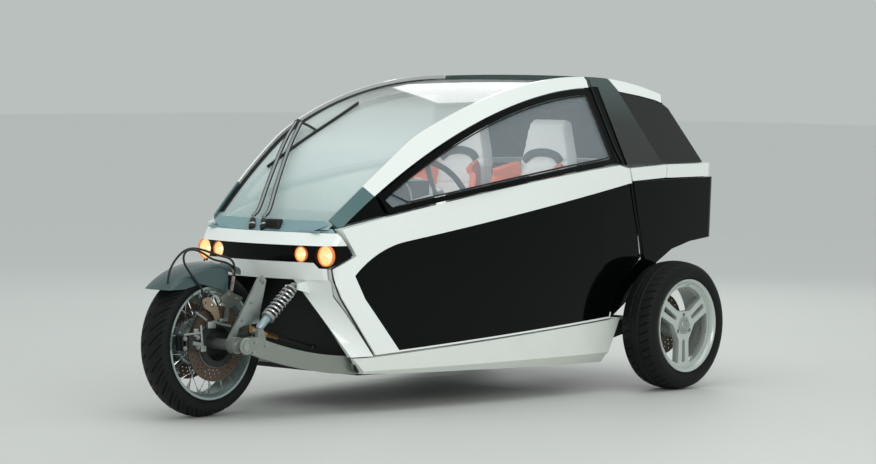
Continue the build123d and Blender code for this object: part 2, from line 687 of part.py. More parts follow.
with BuildPart() as floor_tub:
    with BuildPart(mode=Mode.PRIVATE) as floor:
        add(prism(((578.0, 150.0), (1930.0, 150.0), (2045.0, 190.0), (2045.0, 214.0), (1930.0, 186.0), (578.0, 186.0))))
        add(hull(88.0), mode=Mode.INTERSECT)
    add(floor.part)
    with BuildPart(mode=Mode.PRIVATE) as walls:
        add(prism(((590.0, 186.0), (614.0, 186.0), (614.0, 612.0), (590.0, 612.0))))
        add(prism(((2020.0, 190.0), (2045.0, 190.0), (2045.0, 996.0), (2020.0, 996.0))))
        add(prism(((392.0, 612.0), (614.0, 612.0), (614.0, 632.0), (392.0, 632.0))))
        add(hull(67.0), mode=Mode.INTERSECT)
    add(walls.part)
    shock_mount = ((380.0, 494.0), (380.0, 562.0), (396.0, 613.0), (592.0, 613.0), (592.0, 440.0))
    add(prism(shock_mount, 247.0, 257.0))
    add(prism(((500.0, 170.0), (500.0, 224.0), (592.0, 240.0), (592.0, 160.0)), 270.0, 284.0))
    add(ring(PIVOT, 100.0, 300.0, PIVOT_R), mode=Mode.SUBTRACT)
    add(nose_frame.part, mode=Mode.SUBTRACT)
    mirror(about=Plane.YZ)
finish(floor_tub, "floor_tub")

# Cabin: dashboard with its pod and column, two seats
with BuildPart() as dashboard:
    add(prism(((618.0, 636.0), (618.0, 760.0), (880.0, 806.0), (950.0, 790.0), (962.0, 640.0))))
    add(hull(84.0), mode=Mode.INTERSECT)
    mirror(about=Plane.YZ)
    with Locations(spot(WHEEL_MID[0], 955.0, 868.0)):
        Box(185, 105, 160)
    rise = sin(radians(COLUMN_ANGLE)) / cos(radians(COLUMN_ANGLE))
    foot = (WHEEL_MID[0], 950.0, WHEEL_MID[2] - (WHEEL_MID[1] - 950.0) * rise)
    top = (WHEEL_MID[0], WHEEL_MID[1] - 27.0, WHEEL_MID[2] - 27.0 * rise)
    add(bar(foot, top, 24.0))
finish(dashboard, "dashboard")

SEAT_SIDE = (
    (1400.0, 188.0), (1310.0, 260.0), (1296.0, 350.0), (1330.0, 392.0), (1690.0, 345.0), (1742.0, 400.0),
    (1846.0, 960.0), (1868.0, 1060.0), (1874.0, 1180.0), (1900.0, 1205.0), (1945.0, 1195.0), (1948.0, 1060.0),
    (1928.0, 900.0), (1850.0, 320.0), (1780.0, 188.0),
)
SEAT_FRONT = (
    (-215.0, 188.0), (-215.0, 640.0), (-150.0, 930.0), (-143.0, 985.0), (-92.0, 1206.0), (92.0, 1206.0),
    (143.0, 985.0), (150.0, 930.0), (215.0, 640.0), (215.0, 188.0),
)
for name, x in (("seat_left", SEAT_MID), ("seat_right", -SEAT_MID)):
    with BuildPart() as seat:
        add(prism(SEAT_SIDE, x - 230.0, x + 230.0))
        with BuildPart(mode=Mode.PRIVATE) as front_view:
            with BuildSketch(cross(1200.0)):
                with BuildLine():
                    Polyline(*[(x + dx, z) for dx, z in SEAT_FRONT], close=True)
                make_face()
            extrude(amount=-900)
        add(front_view.part, mode=Mode.INTERSECT)
    finish(seat, name)

with BuildPart() as steering_wheel:
    tilt = radians(COLUMN_ANGLE)
    rim_plane = Plane(origin=spot(*WHEEL_MID), x_dir=(1, 0, 0), z_dir=(0, cos(tilt), sin(tilt)))
    with BuildPart(rim_plane):
        Torus(164, 13)
        Cylinder(34, 44)
        with PolarLocations(90, 3, start_angle=90):
            Box(140, 26, 12)
finish(steering_wheel, "steering_wheel")

# Engine as one block, rear beam with trailing arms, stub axles and calipers
with BuildPart() as engine:
    with Locations(spot(0, 2262.0, 505.0)):
        Box(440, 360, 300)
finish(engine, "engine")

with BuildPart() as rear_subframe:
    add(ring(AXLE_REAR, 0.0, 552.0, 24.0))
    add(ring(AXLE_REAR, 552.0, 574.0, 60.0))
    add(ring(AXLE_REAR, 574.0, 730.0, 24.0))
    add(prism(((2046.0, 215.0), (2046.0, 290.0), (2266.0, 318.0), (2290.0, 287.0), (2266.0, 256.0)), 420.0, 470.0))
    mirror(about=Plane.YZ)
finish(rear_subframe, "rear_subframe")

# Rear wheels
HUB_BORE = 27.0
with BuildPart() as rear_tyre:
    with BuildSketch(Plane(origin=spot(REAR_MID, *AXLE_REAR), x_dir=(1, 0, 0), z_dir=(0, -1, 0))):
        with BuildLine():
            Line((-76, REAR_RIM_R), (76, REAR_RIM_R))
            ThreePointArc((76, REAR_RIM_R), (REAR_HALF, 240), (70, 276))
            ThreePointArc((70, 276), (0, REAR_R), (-70, 276))
            ThreePointArc((-70, 276), (-REAR_HALF, 240), (-76, REAR_RIM_R))
        make_face()
    revolve(axis=Axis(spot(0, *AXLE_REAR), (1, 0, 0)))
both_sides(rear_tyre, "rear_tyre")

with BuildPart() as rear_rim:
    with BuildSketch(Plane(origin=spot(REAR_MID, *AXLE_REAR), x_dir=(1, 0, 0), z_dir=(0, -1, 0))):
        with BuildLine():
            Polyline(
                (-78, REAR_RIM_R), (-78, 196), (20, 186), (72, 190), (84, 200), (84, REAR_RIM_R), (-78, REAR_RIM_R),
            )
        make_face()
        with BuildLine():
            Polyline((-40, HUB_BORE), (-40, 52), (30, 62), (64, 58), (64, HUB_BORE), (-40, HUB_BORE))
        make_face()
    revolve(axis=Axis(spot(0, *AXLE_REAR), (1, 0, 0)))
    with BuildPart(mode=Mode.PRIVATE) as face:
        with BuildSketch(side(REAR_MID + 34.0)):
            with Locations(AXLE_REAR):
                Circle(192)
                Circle(50, mode=Mode.SUBTRACT)
                with PolarLocations(0, 3, start_angle=90):
                    with Locations((128, 0)):
                        SlotOverall(110, 30, mode=Mode.SUBTRACT)
                with PolarLocations(0, 3, start_angle=30):
                    with BuildLine():
                        Polyline((76, 0), (88, 34), (168, 66), (178, 0), (168, -66), (88, -34), close=True)
                    make_face(mode=Mode.SUBTRACT)
        extrude(amount=26)
    add(face.part)
both_sides(rear_rim, "rear_rim")

# Front wheel on the outside of its hub carrier, with two discs
CARRIER_R = 78.0
CARRIER_BORE = 70.0
HUB_R = 80.5
with BuildPart() as front_tyre:
    with BuildSketch(Plane(origin=spot(0, *AXLE_FRONT), x_dir=(1, 0, 0), z_dir=(0, -1, 0))):
        with BuildLine():
            Line((-56, FRONT_RIM_R), (56, FRONT_RIM_R))
            ThreePointArc((56, FRONT_RIM_R), (FRONT_HALF, 258), (58, 282))
            ThreePointArc((58, 282), (0, FRONT_R), (-58, 282))
            ThreePointArc((-58, 282), (-FRONT_HALF, 258), (-56, FRONT_RIM_R))
        make_face()
    revolve(axis=Axis(spot(0, *AXLE_FRONT), (1, 0, 0)))
finish(front_tyre, "front_tyre")

SPOKES = 16
with BuildPart() as front_rim:
    with BuildSketch(Plane(origin=spot(0, *AXLE_FRONT), x_dir=(1, 0, 0), z_dir=(0, -1, 0))):
        with BuildLine():
            Polyline(
                (-57, FRONT_RIM_R), (-FRONT_RIM_HALF, FRONT_RIM_R), (-FRONT_RIM_HALF, 222), (-40, 210), (0, 203),
                (40, 210), (FRONT_RIM_HALF, 222), (FRONT_RIM_HALF, FRONT_RIM_R), (57, FRONT_RIM_R), (56, 231),
                (-56, 231), (-57, FRONT_RIM_R),
            )
        make_face()
        with BuildLine():
            Polyline((-62, HUB_R), (-62, 96), (-44, 96), (-40, 88), (40, 88), (44, 96), (62, 96), (62, HUB_R),
                     (-62, HUB_R))
        make_face()
    revolve(axis=Axis(spot(0, *AXLE_FRONT), (1, 0, 0)))
finish(front_rim, "front_rim")

with BuildPart() as front_spokes:
    for number in range(SPOKES * 2):
        sign = 1 if number % 2 else -1
        a = radians(number * 180 / SPOKES)
        b = a + radians(14 * (1 if number % 4 < 2 else -1))
        start = (sign * 50, 93 * cos(a), FRONT_R + 93 * sin(a))
        end = (sign * 12, 208 * cos(b), FRONT_R + 208 * sin(b))
        add(bar(start, end, 2.2))
    add(front_rim.part, mode=Mode.SUBTRACT)
finish(front_spokes, "front_spokes")

DISC_X = (76.0, 82.0)
DISC_R = 155.0
with BuildPart() as front_discs:
    for low, high in (DISC_X, (-DISC_X[1], -DISC_X[0])):
        add(ring(AXLE_FRONT, low, high, DISC_R, 98.0))
    for low, high in ((62.5, DISC_X[1]), (-DISC_X[1], -62.5)):
        add(ring(AXLE_FRONT, low, high, 99.0, 86.0))
finish(front_discs, "front_discs")

# Steered parts inside and round the front wheel
with BuildPart() as hub_carrier:
    add(ring(AXLE_FRONT, -92.0, 92.0, CARRIER_R, CARRIER_BORE))
    for low, high in ((88.0, 96.0), (-96.0, -88.0)):
        add(ring(AXLE_FRONT, low, high, 96.0, CARRIER_BORE))
    for sign in (-1, 1):
        add(bar((0, 0, FRONT_R + sign * 25), (0, 0, FRONT_R + sign * 74), 14.0))
        with Locations(spot(sign * 80.0, -158.0, 316.0)):
            Box(42, 88, 62)
        add(prism(((-120.0, 290.0), (-120.0, 345.0), (-70.0, 345.0), (-70.0, 300.0)), *sorted((sign * 89.0, sign * 97.0))))
    for low, high in ((71.5, 86.5), (-86.5, -71.5)):
        add(ring(AXLE_FRONT, low, high, DISC_R + 4.0, CARRIER_R + 1), mode=Mode.SUBTRACT)
    x, y, z = ROD_EYE
    add(bar((92.0, 62.0, 334.0), (x, y, z - 22.0), 8.0))
    with Locations(spot(x, y, z - 6.0)):
        Cylinder(6.0, 32.0)
finish(hub_carrier, "hub_carrier")

# Mudguard: a crown on a flatter curve than the tyre's, with sides cut off along a line of their own
GUARD_AXIS = (11.0, 209.0)   # (y, z)
GUARD_R = 423.0
GUARD_HALF = 85.0
GUARD_FRONT = 130.8          # angles about that axis, from level behind it, up and over to the front
GUARD_BACK = 71.2
GUARD_DEEP = 125.0
GUARD_LOW = ((-420.0, 529.0), (-175.0, 531.0), (-92.0, 549.0), (-36.0, 538.0), (65.0, 513.0), (66.0, 592.0), (200.0, 560.0))
with BuildPart() as mudguard:
    a = radians(GUARD_BACK)
    start_plane = Plane(origin=spot(0, *GUARD_AXIS), x_dir=(1, 0, 0), z_dir=(0, -sin(a), cos(a)))
    with BuildSketch(start_plane):
        with BuildLine():
            r, h, low = GUARD_R, GUARD_HALF, GUARD_R - GUARD_DEEP
            Line((-h, low), (-h, r - 34))
            ThreePointArc((-h, r - 34), (-h + 8, r - 14), (-h + 26, r - 5))
            ThreePointArc((-h + 26, r - 5), (0, r), (h - 26, r - 5))
            ThreePointArc((h - 26, r - 5), (h - 8, r - 14), (h, r - 34))
            Polyline((h, r - 34), (h, low), (h - 4, low), (h - 4, r - 34))
            ThreePointArc((h - 4, r - 34), (h - 11, r - 17), (h - 27, r - 9))
            ThreePointArc((h - 27, r - 9), (0, r - 4), (-h + 27, r - 9))
            ThreePointArc((-h + 27, r - 9), (-h + 11, r - 17), (-h + 4, r - 34))
            Polyline((-h + 4, r - 34), (-h + 4, low), (-h, low))
        make_face()
    revolve(axis=Axis(spot(0, *GUARD_AXIS), (1, 0, 0)), revolution_arc=GUARD_FRONT - GUARD_BACK)
    add(prism((*GUARD_LOW, (200.0, 250.0), (-420.0, 250.0)), -100.0, 100.0), mode=Mode.SUBTRACT)
finish(mudguard, "mudguard")

# Struts and plates that carry the mudguard from the hub carrier
PLATE = ((10.0, 490.0), (61.0, 514.0), (141.0, 483.0), (118.0, 462.0), (73.0, 446.0), (22.0, 473.0))
STRAP = ((80.0, 622.0), (100.0, 588.0), (84.0, 512.0), (70.0, 512.0), (84.0, 586.0), (68.0, 618.0))
with BuildPart() as guard_bracket:
    add(prism(PLATE, 88.0, 96.0))
    add(prism(STRAP, 89.0, 95.0))
    add(prism(((48.0, 470.0), (70.0, 470.0), (56.0, 392.0), (34.0, 398.0)), 89.0, 95.0))
    mirror(about=Plane.YZ)
finish(guard_bracket, "guard_bracket")

# Brake hoses: one arches over the mudguard, one loops forward of its strap and down to the left caliper
HOSE_R = 4.5
HOSES = (
    ((60.0, -246.0, 554.0), (60.0, -241.0, 600.0), (60.0, -217.0, 637.0), (60.0, -185.0, 668.0), (60.0, -149.0, 688.0),
     (60.0, -110.0, 694.0), (60.0, -58.0, 686.0), (60.0, 4.0, 667.0), (76.0, 36.0, 656.0), (98.0, 54.0, 650.0),
     (110.0, 70.0, 634.0), (110.0, 80.0, 602.0), (102.0, 84.0, 574.0)),
    ((101.0, 92.0, 600.0), (100.0, 60.0, 628.0), (92.0, -16.0, 642.0), (92.0, -49.0, 655.0), (92.0, -95.0, 680.0),
     (92.0, -140.0, 692.0), (92.0, -178.0, 686.0), (92.0, -192.0, 662.0), (92.0, -186.0, 635.0), (92.0, -160.0, 603.0),
     (92.0, -117.0, 559.0), (92.0, -88.0, 531.0), (92.0, -80.0, 490.0), (92.0, -100.0, 440.0), (92.0, -128.0, 384.0),
     (92.0, -143.0, 351.0)),
)
with BuildPart() as brake_hoses:
    for hose in HOSES:
        for start, end in zip(hose, hose[1:]):
            add(bar(start, end, HOSE_R))
        for point in hose[1:-1]:
            with Locations(spot(*point)):
                Sphere(HOSE_R + 0.7)
finish(brake_hoses, "brake_hoses")

# Steering rod: its front eye rides on the hub carrier and it stays parallel to the swing arms
with BuildPart() as steering_rod:
    x, y, z = ROD_EYE
    with Locations(spot(x, y, z)):
        Cylinder(12.0, 14.0)
        Cylinder(6.5, 14.0, mode=Mode.SUBTRACT)
    add(bar((x, y + 10.5, z - 2.7), ROD_END, 7.0))
    with Locations(spot(*ROD_END)):
        Sphere(13.0)
finish(steering_rod, "steering_rod")

# Fixed front suspension: axle with torque plates, swing arms on their pivot tube, spring legs
ARM_SPLAY = 0.19             # sideways for each mm behind the axle
ARM_X = 258.0                # outer face at the axle
ARM_THICK = 40.0
AXLE_TUBE = 22.0
ARM_TOP = ((0.0, 332.0), (53.0, 338.0), (248.0, 277.0), (424.0, 245.0))
ARM_LOW = ((424.0, 170.0), (249.0, 203.0), (42.0, 262.0), (0.0, 276.0))
with BuildPart() as front_axle:
    add(ring(AXLE_FRONT, 0.0, 268.0, AXLE_TUBE))
    plate = ((-24.0, 320.0), (150.0, 566.0), (175.0, 577.0), (195.0, 556.0), (164.0, 440.0), (152.0, 382.0),
             (80.0, 380.0), (42.0, 369.0), (16.0, 314.0), (22.0, 284.0), (-14.0, 278.0))
    add(prism(plate, 165.0, 175.0))
    add(ring(AXLE_FRONT, 176.0, 212.0, 34.0))
    mirror(about=Plane.YZ)
finish(front_axle, "front_axle")

with BuildPart() as swing_arms:
    turn = Vector(1, -ARM_SPLAY, 0).normalized()
    arm_plane = Plane(origin=spot(ARM_X, 0, 0), x_dir=(ARM_SPLAY, 1, 0), z_dir=turn)
    with BuildSketch(arm_plane):
        with BuildLine():
            ThreePointArc(ARM_TOP[0], (-29.0, 303.0), ARM_LOW[3])
            Line(ARM_LOW[3], ARM_LOW[2])
            ThreePointArc(ARM_LOW[2], ARM_LOW[1], ARM_LOW[0])
            Line(ARM_LOW[0], (540.0, 160.0))
            ThreePointArc((540.0, 160.0), (574.0, 197.0), (540.0, 234.0))
            Line((540.0, 234.0), ARM_TOP[3])
            ThreePointArc(ARM_TOP[3], ARM_TOP[2], ARM_TOP[1])
            Line(ARM_TOP[1], ARM_TOP[0])
        make_face()
    extrude(amount=-ARM_THICK)
    add(ring(AXLE_FRONT, 150.0, 400.0, AXLE_TUBE), mode=Mode.SUBTRACT)
    add(prism(((74.0, 322.0), (78.0, 362.0), (94.0, 371.0), (110.0, 362.0), (124.0, 318.0)), 231.0, 247.0))
    add(ring(PIVOT, 0.0, 384.0, PIVOT_R))
    mirror(about=Plane.YZ)
finish(swing_arms, "swing_arms")

SHOCK_X = 217.0
SHOCK_LOW = (94.0, 353.0)
SHOCK_TOP = (312.0, 529.0)
with BuildPart() as front_shocks:
    def on_shock(part):
        y = SHOCK_LOW[0] + (SHOCK_TOP[0] - SHOCK_LOW[0]) * part
        z = SHOCK_LOW[1] + (SHOCK_TOP[1] - SHOCK_LOW[1]) * part
        return (SHOCK_X, y, z)
    add(bar(on_shock(0.04), on_shock(0.3), 10.0))
    add(bar(on_shock(0.3), on_shock(0.36), 29.0))
    add(bar(on_shock(0.36), on_shock(0.9), 17.0))
    for number in range(7):
        low = 0.40 + number * 0.07
        add(bar(on_shock(low), on_shock(low + 0.03), 28.0))
    add(bar(on_shock(0.9), on_shock(0.96), 24.0))
    add(ring(SHOCK_LOW, SHOCK_X - 9, 231.0, 13.0))
    add(ring(SHOCK_TOP, SHOCK_X - 9, 247.0, 13.0))
    mirror(about=Plane.YZ)
finish(front_shocks, "front_shocks")
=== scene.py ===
from math import cos, hypot, pi, radians, sin, sqrt

import bmesh
import bpy
import numpy as np
from mathutils import Matrix, Vector


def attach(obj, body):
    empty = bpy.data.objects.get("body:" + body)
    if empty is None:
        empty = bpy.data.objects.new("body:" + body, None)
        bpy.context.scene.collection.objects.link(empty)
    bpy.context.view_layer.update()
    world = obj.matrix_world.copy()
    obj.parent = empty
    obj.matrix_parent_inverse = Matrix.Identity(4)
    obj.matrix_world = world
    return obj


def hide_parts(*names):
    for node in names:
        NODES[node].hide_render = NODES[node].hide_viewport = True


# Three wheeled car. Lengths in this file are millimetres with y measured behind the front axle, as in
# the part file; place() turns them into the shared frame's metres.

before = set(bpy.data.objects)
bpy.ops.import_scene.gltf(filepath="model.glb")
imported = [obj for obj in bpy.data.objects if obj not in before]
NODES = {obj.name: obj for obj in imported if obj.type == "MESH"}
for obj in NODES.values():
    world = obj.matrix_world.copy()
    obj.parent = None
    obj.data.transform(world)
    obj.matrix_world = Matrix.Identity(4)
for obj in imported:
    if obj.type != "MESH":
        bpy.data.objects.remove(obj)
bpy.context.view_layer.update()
MIDDLE = 1229.5
FRONT_AXLE = (0.0, 0.0, 303.0)
REAR_AXLE_Y, REAR_AXLE_Z, REAR_MID = 2266.0, 287.0, 677.0
IMAGE_W, IMAGE_H = 876, 464


def place(points):
    """Drawing points in mm as points of the shared frame in metres."""
    return (np.asarray(points, float).reshape(-1, 3) - (0.0, MIDDLE, 0.0)) / 1000.0


def linear(r, g, b):
    """A colour given as eight bit values, for a shader socket."""
    return tuple(((c / 255 + 0.055) / 1.055) ** 2.4 if c > 10 else c / 255 / 12.92 for c in (r, g, b)) + (1.0,)


# Materials

def shaded(name, colour, rough, metal=0.0, vary=0.06, patch=5.0, grain=300.0, bump=0.02, stretch=(1, 1, 1), second=None,
           coat=0.0, specular=0.5, alpha=1.0, sheen=0.0, glow=0.0, uneven=0.06):
    """Principled finish with drifting colour, uneven roughness and a fine grain in its surface."""
    made = bpy.data.materials.new(name)
    made.use_nodes = True
    nodes, links = made.node_tree.nodes, made.node_tree.links
    shader = nodes["Principled BSDF"]
    shader.inputs["Metallic"].default_value = metal
    shader.inputs["Coat Weight"].default_value = coat
    shader.inputs["Coat Roughness"].default_value = 0.04
    shader.inputs["Specular IOR Level"].default_value = specular
    shader.inputs["Alpha"].default_value = alpha
    shader.inputs["Sheen Weight"].default_value = sheen
    if glow:
        shader.inputs["Emission Color"].default_value = colour
        shader.inputs["Emission Strength"].default_value = glow
    where = nodes.new("ShaderNodeTexCoord")
    spread = nodes.new("ShaderNodeMapping")
    spread.inputs["Scale"].default_value = stretch
    links.new(where.outputs["Object"], spread.inputs["Vector"])
    drift = nodes.new("ShaderNodeTexNoise")
    drift.inputs["Scale"].default_value = patch
    drift.inputs["Detail"].default_value = 4.0
    tone = nodes.new("ShaderNodeMix")
    tone.data_type = "RGBA"
    pale = second or tuple(min(1.0, c * (1 + vary)) for c in colour[:3]) + (1.0,)
    tone.inputs[6].default_value = tuple(c * (1 - vary) for c in colour[:3]) + (1.0,)
    tone.inputs[7].default_value = pale
    fine = nodes.new("ShaderNodeTexNoise")
    fine.inputs["Scale"].default_value = grain
    fine.inputs["Detail"].default_value = 3.0
    gloss = nodes.new("ShaderNodeMapRange")
    gloss.inputs["To Min"].default_value = max(0.02, rough - uneven)
    gloss.inputs["To Max"].default_value = min(1.0, rough + uneven)
    relief = nodes.new("ShaderNodeBump")
    relief.inputs["Strength"].default_value = bump
    relief.inputs["Distance"].default_value = 0.001
    for noise in (drift, fine):
        links.new(spread.outputs["Vector"], noise.inputs["Vector"])
    links.new(drift.outputs["Fac"], tone.inputs[0])
    links.new(tone.outputs[2], shader.inputs["Base Color"])
    links.new(drift.outputs["Fac"], gloss.inputs["Value"])
    links.new(gloss.outputs["Result"], shader.inputs["Roughness"])
    links.new(fine.outputs["Fac"], relief.inputs["Height"])
    links.new(relief.outputs["Normal"], shader.inputs["Normal"])
    return made


def fade(made, axis, low, high, colours):
    """Makes a finish's colour run along an axis of the object, from low to high in mm."""
    nodes, links = made.node_tree.nodes, made.node_tree.links
    parts = nodes.new("ShaderNodeSeparateXYZ")
    reach = nodes.new("ShaderNodeMapRange")
    reach.inputs["From Min"].default_value = low / 1000
    reach.inputs["From Max"].default_value = high / 1000
    ramp = nodes.new("ShaderNodeValToRGB")
    ramp.color_ramp.elements[0].color = colours[0]
    ramp.color_ramp.elements[1].color = colours[-1]
    for number, colour in enumerate(colours[1:-1]):
        ramp.color_ramp.elements.new((number + 1) / (len(colours) - 1)).color = colour
    links.new(nodes["Texture Coordinate"].outputs["Object"], parts.inputs["Vector"])
    links.new(parts.outputs[axis], reach.inputs["Value"])
    links.new(reach.outputs["Result"], ramp.inputs["Fac"])
    links.new(ramp.outputs["Color"], nodes["Principled BSDF"].inputs["Base Color"])
    return made


WHITE = shaded("white_enamel", linear(238, 243, 238), 0.16, vary=0.02, patch=3.0, grain=900.0, bump=0.015, coat=0.6)
# The sills get a duller, darker white than the body's.
LOWER_WHITE = shaded("sill_white", linear(220, 225, 217), 0.24, vary=0.05, patch=9.0, grain=700.0, bump=0.02, coat=0.4)
BLACK = shaded("gloss_black_lacquer", linear(3, 5, 5), 0.07, vary=0.2, grain=900.0, bump=0.01, specular=0.14)
TEAL = shaded("dark_teal_moulding", linear(80, 112, 112), 0.3, vary=0.08, patch=4.0, grain=800.0, bump=0.02, coat=0.25)
COWL = shaded("cowl_moulding", linear(126, 157, 161), 0.32, vary=0.06, grain=800.0, bump=0.02, coat=0.2)
# The hoop's black lacquer fades to teal towards its top, z 1000 to 1360 mm: painted sky reflection.
HOOP = fade(shaded("black_hoop_lacquer_painted_reflection", linear(60, 80, 78), 0.09, grain=900.0, bump=0.01, coat=0.4), "Z", 1000, 1360,
            (linear(10, 13, 13), linear(20, 27, 26), linear(58, 76, 74)))
# The windscreen's colour runs pale to paler up its height and turns dark at its top edge: painted reflection of the
# sky, dark at the top.
SCREEN = fade(shaded("windscreen_painted_sky_reflection", linear(199, 220, 218), 0.03, alpha=0.55, uneven=0.01, bump=0.0), "Z", 780, 1400,
              (linear(190, 210, 206), linear(208, 226, 223), linear(224, 236, 233), linear(206, 216, 212), linear(38, 42, 40)))
# The door glass's near-white colour at low alpha is a painted reflection: the milky veil of sky over the seats behind
# it.
SIDE_GLASS = shaded("door_glass_painted_veil", linear(196, 208, 214), 0.03, alpha=0.19, uneven=0.01, bump=0.0, vary=0.04)
REAR_GLASS = shaded("rear_glass_tint", linear(16, 20, 20), 0.05, alpha=0.9, uneven=0.01, bump=0.0)
GREY_FLOOR = shaded("underbody_paint", linear(20, 22, 23), 0.6, vary=0.15, patch=14.0, grain=260.0, bump=0.15)
PLASTIC = shaded("grained_black_plastic", linear(24, 26, 27), 0.55, vary=0.12, grain=1400.0, bump=0.3)
GREY_PLASTIC = shaded("grey_moulding", linear(142, 146, 145), 0.5, vary=0.05, grain=1200.0, bump=0.15)
RUBBER = shaded("seal_rubber", linear(15, 16, 17), 0.7, vary=0.15, grain=900.0, bump=0.12)
TYRE = shaded("tyre_rubber", linear(11, 13, 13), 0.66, vary=0.2, patch=16.0, grain=700.0, bump=0.25, specular=0.3)
CHROME = shaded("polished_chrome", linear(214, 217, 219), 0.07, metal=1.0, vary=0.03, grain=500.0, bump=0.01, uneven=0.03)
ALLOY = shaded("brushed_alloy", linear(150, 156, 148), 0.34, metal=0.75, vary=0.08, patch=12.0, grain=240.0, bump=0.08,
               stretch=(1, 1, 14), uneven=0.1)
RIM_SILVER = shaded("silver_wheel_lacquer", linear(196, 203, 198), 0.28, metal=0.45, vary=0.05, patch=8.0, grain=900.0, bump=0.03, coat=0.3)
ZINC = shaded("zinc_plate", linear(170, 176, 172), 0.36, metal=0.85, vary=0.16, patch=30.0, grain=300.0, bump=0.06, uneven=0.12)
DEEP_CHROME = shaded("deep_rim_chrome", linear(160, 176, 175), 0.25, metal=0.75, vary=0.05, patch=12.0, grain=500.0, bump=0.02, uneven=0.05)
HUB_CAST = shaded("dark_hub_casting", linear(44, 47, 47), 0.45, metal=0.4, vary=0.15, patch=20.0, grain=900.0, bump=0.3)
TAN = shaded("tan_bracket_plate", linear(150, 134, 112), 0.4, metal=0.6, vary=0.12, patch=20.0, grain=500.0, bump=0.06)
STRAP = fade(shaded("brushed_strap", linear(206, 190, 184), 0.3, metal=0.7, vary=0.08, patch=20.0, grain=300.0, bump=0.08,
                    stretch=(1, 1, 10)), "Z", 510, 520, (linear(138, 142, 134), linear(206, 186, 178)))
GUARD = shaded("mudguard_moulding", linear(52, 74, 76), 0.24, vary=0.1, patch=5.0, grain=800.0, bump=0.02, coat=0.4)
CAST = shaded("cast_aluminium", linear(132, 134, 133), 0.5, metal=0.7, vary=0.12, patch=20.0, grain=900.0, bump=0.35)
DARK_CAST = shaded("black_caliper_enamel", linear(28, 30, 31), 0.38, vary=0.15, grain=900.0, bump=0.25, coat=0.2)
DISC = shaded("brown_brake_steel", linear(88, 73, 61), 0.42, metal=0.45, vary=0.12, patch=18.0, grain=500.0, bump=0.08)
STEEL = shaded("black_rod_paint", linear(26, 27, 28), 0.4, vary=0.2, grain=500.0, bump=0.06)
BRASS = shaded("brass_fitting", linear(196, 148, 84), 0.3, metal=0.9, vary=0.1, patch=20.0, grain=400.0, bump=0.04)
BLUE_STEEL = shaded("damper_body_paint", linear(150, 172, 176), 0.26, metal=0.5, vary=0.08, grain=500.0, bump=0.04, coat=0.3)
HOSE = shaded("hose_rubber", linear(20, 21, 23), 0.45, vary=0.15, patch=30.0, grain=900.0, bump=0.1)
LAMP_BOWL = shaded("lamp_reflector", linear(224, 220, 206), 0.1, metal=1.0, vary=0.05, grain=200.0, bump=0.05, uneven=0.04)
LAMP_GLOW = shaded("lamp_bulb_glow", linear(255, 240, 200), 0.3, glow=2.6, vary=0.05)
LAMP_LENS = shaded("lit_lamp_lens", linear(255, 224, 160), 0.05, alpha=0.42, glow=0.62, vary=0.3, patch=60.0, bump=0.2, grain=160.0)
AMBER = shaded("amber_lamp_ring", linear(224, 112, 44), 0.16, vary=0.1, grain=140.0, bump=0.1, coat=0.4, glow=0.4)
RED = shaded("red_lens", linear(168, 24, 20), 0.12, vary=0.12, patch=40.0, grain=140.0, bump=0.15, coat=0.4)
SEAT = shaded("pale_seat_leather", linear(232, 235, 232), 0.55, vary=0.06, patch=10.0, grain=520.0, bump=0.35, sheen=0.12)
SEAT_DARK = shaded("dark_seat_cloth", linear(58, 62, 64), 0.8, vary=0.14, patch=18.0, grain=900.0, bump=0.5, sheen=0.2)
SEAT_AMBER = shaded("orange_seat_leather", linear(236, 110, 50), 0.5, vary=0.1, patch=12.0, grain=520.0, bump=0.35, sheen=0.1)
WHEEL_LEATHER = shaded("wheel_leather", linear(36, 37, 38), 0.5, vary=0.12, patch=20.0, grain=700.0, bump=0.4)


# Shapes: each helper gives (points, faces)

def merged(*shapes):
    """Several shapes as one list of points and one of faces."""
    points, faces, start = [], [], 0
    for shape in shapes:
        points.append(np.asarray(shape[0], float).reshape(-1, 3))
        faces += [[start + i for i in face] for face in shape[1]]
        start += len(points[-1])
    return np.vstack(points), faces


def mirrored(shape):
    points = np.array(shape[0], float) * (-1, 1, 1)
    return points, [list(reversed(face)) for face in shape[1]]


def both(shape):
    return merged(shape, mirrored(shape))


def frame_of(axis):
    """Two directions square to an axis."""
    axis = np.array(axis, float)
    axis /= np.linalg.norm(axis)
    helper = np.array((0.0, 0.0, 1.0)) if abs(axis[2]) < 0.9 else np.array((0.0, 1.0, 0.0))
    across = np.cross(helper, axis)
    across /= np.linalg.norm(across)
    return axis, across, np.cross(axis, across)


def turned(profile, centre, axis=(1, 0, 0), steps=64, loop=False):
    """A profile of (along, radius) turned round an axis; loop joins its ends, or else they close at the axis."""
    axis, across, rise = frame_of(axis)
    centre = np.array(centre, float)
    points, faces, count = [], [], len(profile)
    for s in range(steps):
        a = 2 * pi * s / steps
        out = across * cos(a) + rise * sin(a)
        points += [centre + axis * u + out * r for u, r in profile]
    for s in range(steps):
        here, there = s * count, (s + 1) % steps * count
        for k in range(count if loop else count - 1):
            n = (k + 1) % count
            faces.append([here + k, there + k, there + n, here + n])
    if not loop:
        faces.append([s * count for s in range(steps)])
        faces.append([s * count + count - 1 for s in reversed(range(steps))])
    return np.array(points), faces


def smooth_path(points, steps=6):
    """More points on a curve that passes through the given ones."""
    p = np.array(points, float)
    p = np.vstack([2 * p[0] - p[1], p, 2 * p[-1] - p[-2]])
    out = []
    for i in range(1, len(p) - 2):
        for t in np.arange(steps) / steps:
            a, b, c, d = p[i - 1:i + 3]
            out.append(0.5 * (2 * b + (c - a) * t + (2 * a - 5 * b + 4 * c - d) * t ** 2 + (3 * b - a - 3 * c + d) * t ** 3))
    return np.array(out + [p[-2]])


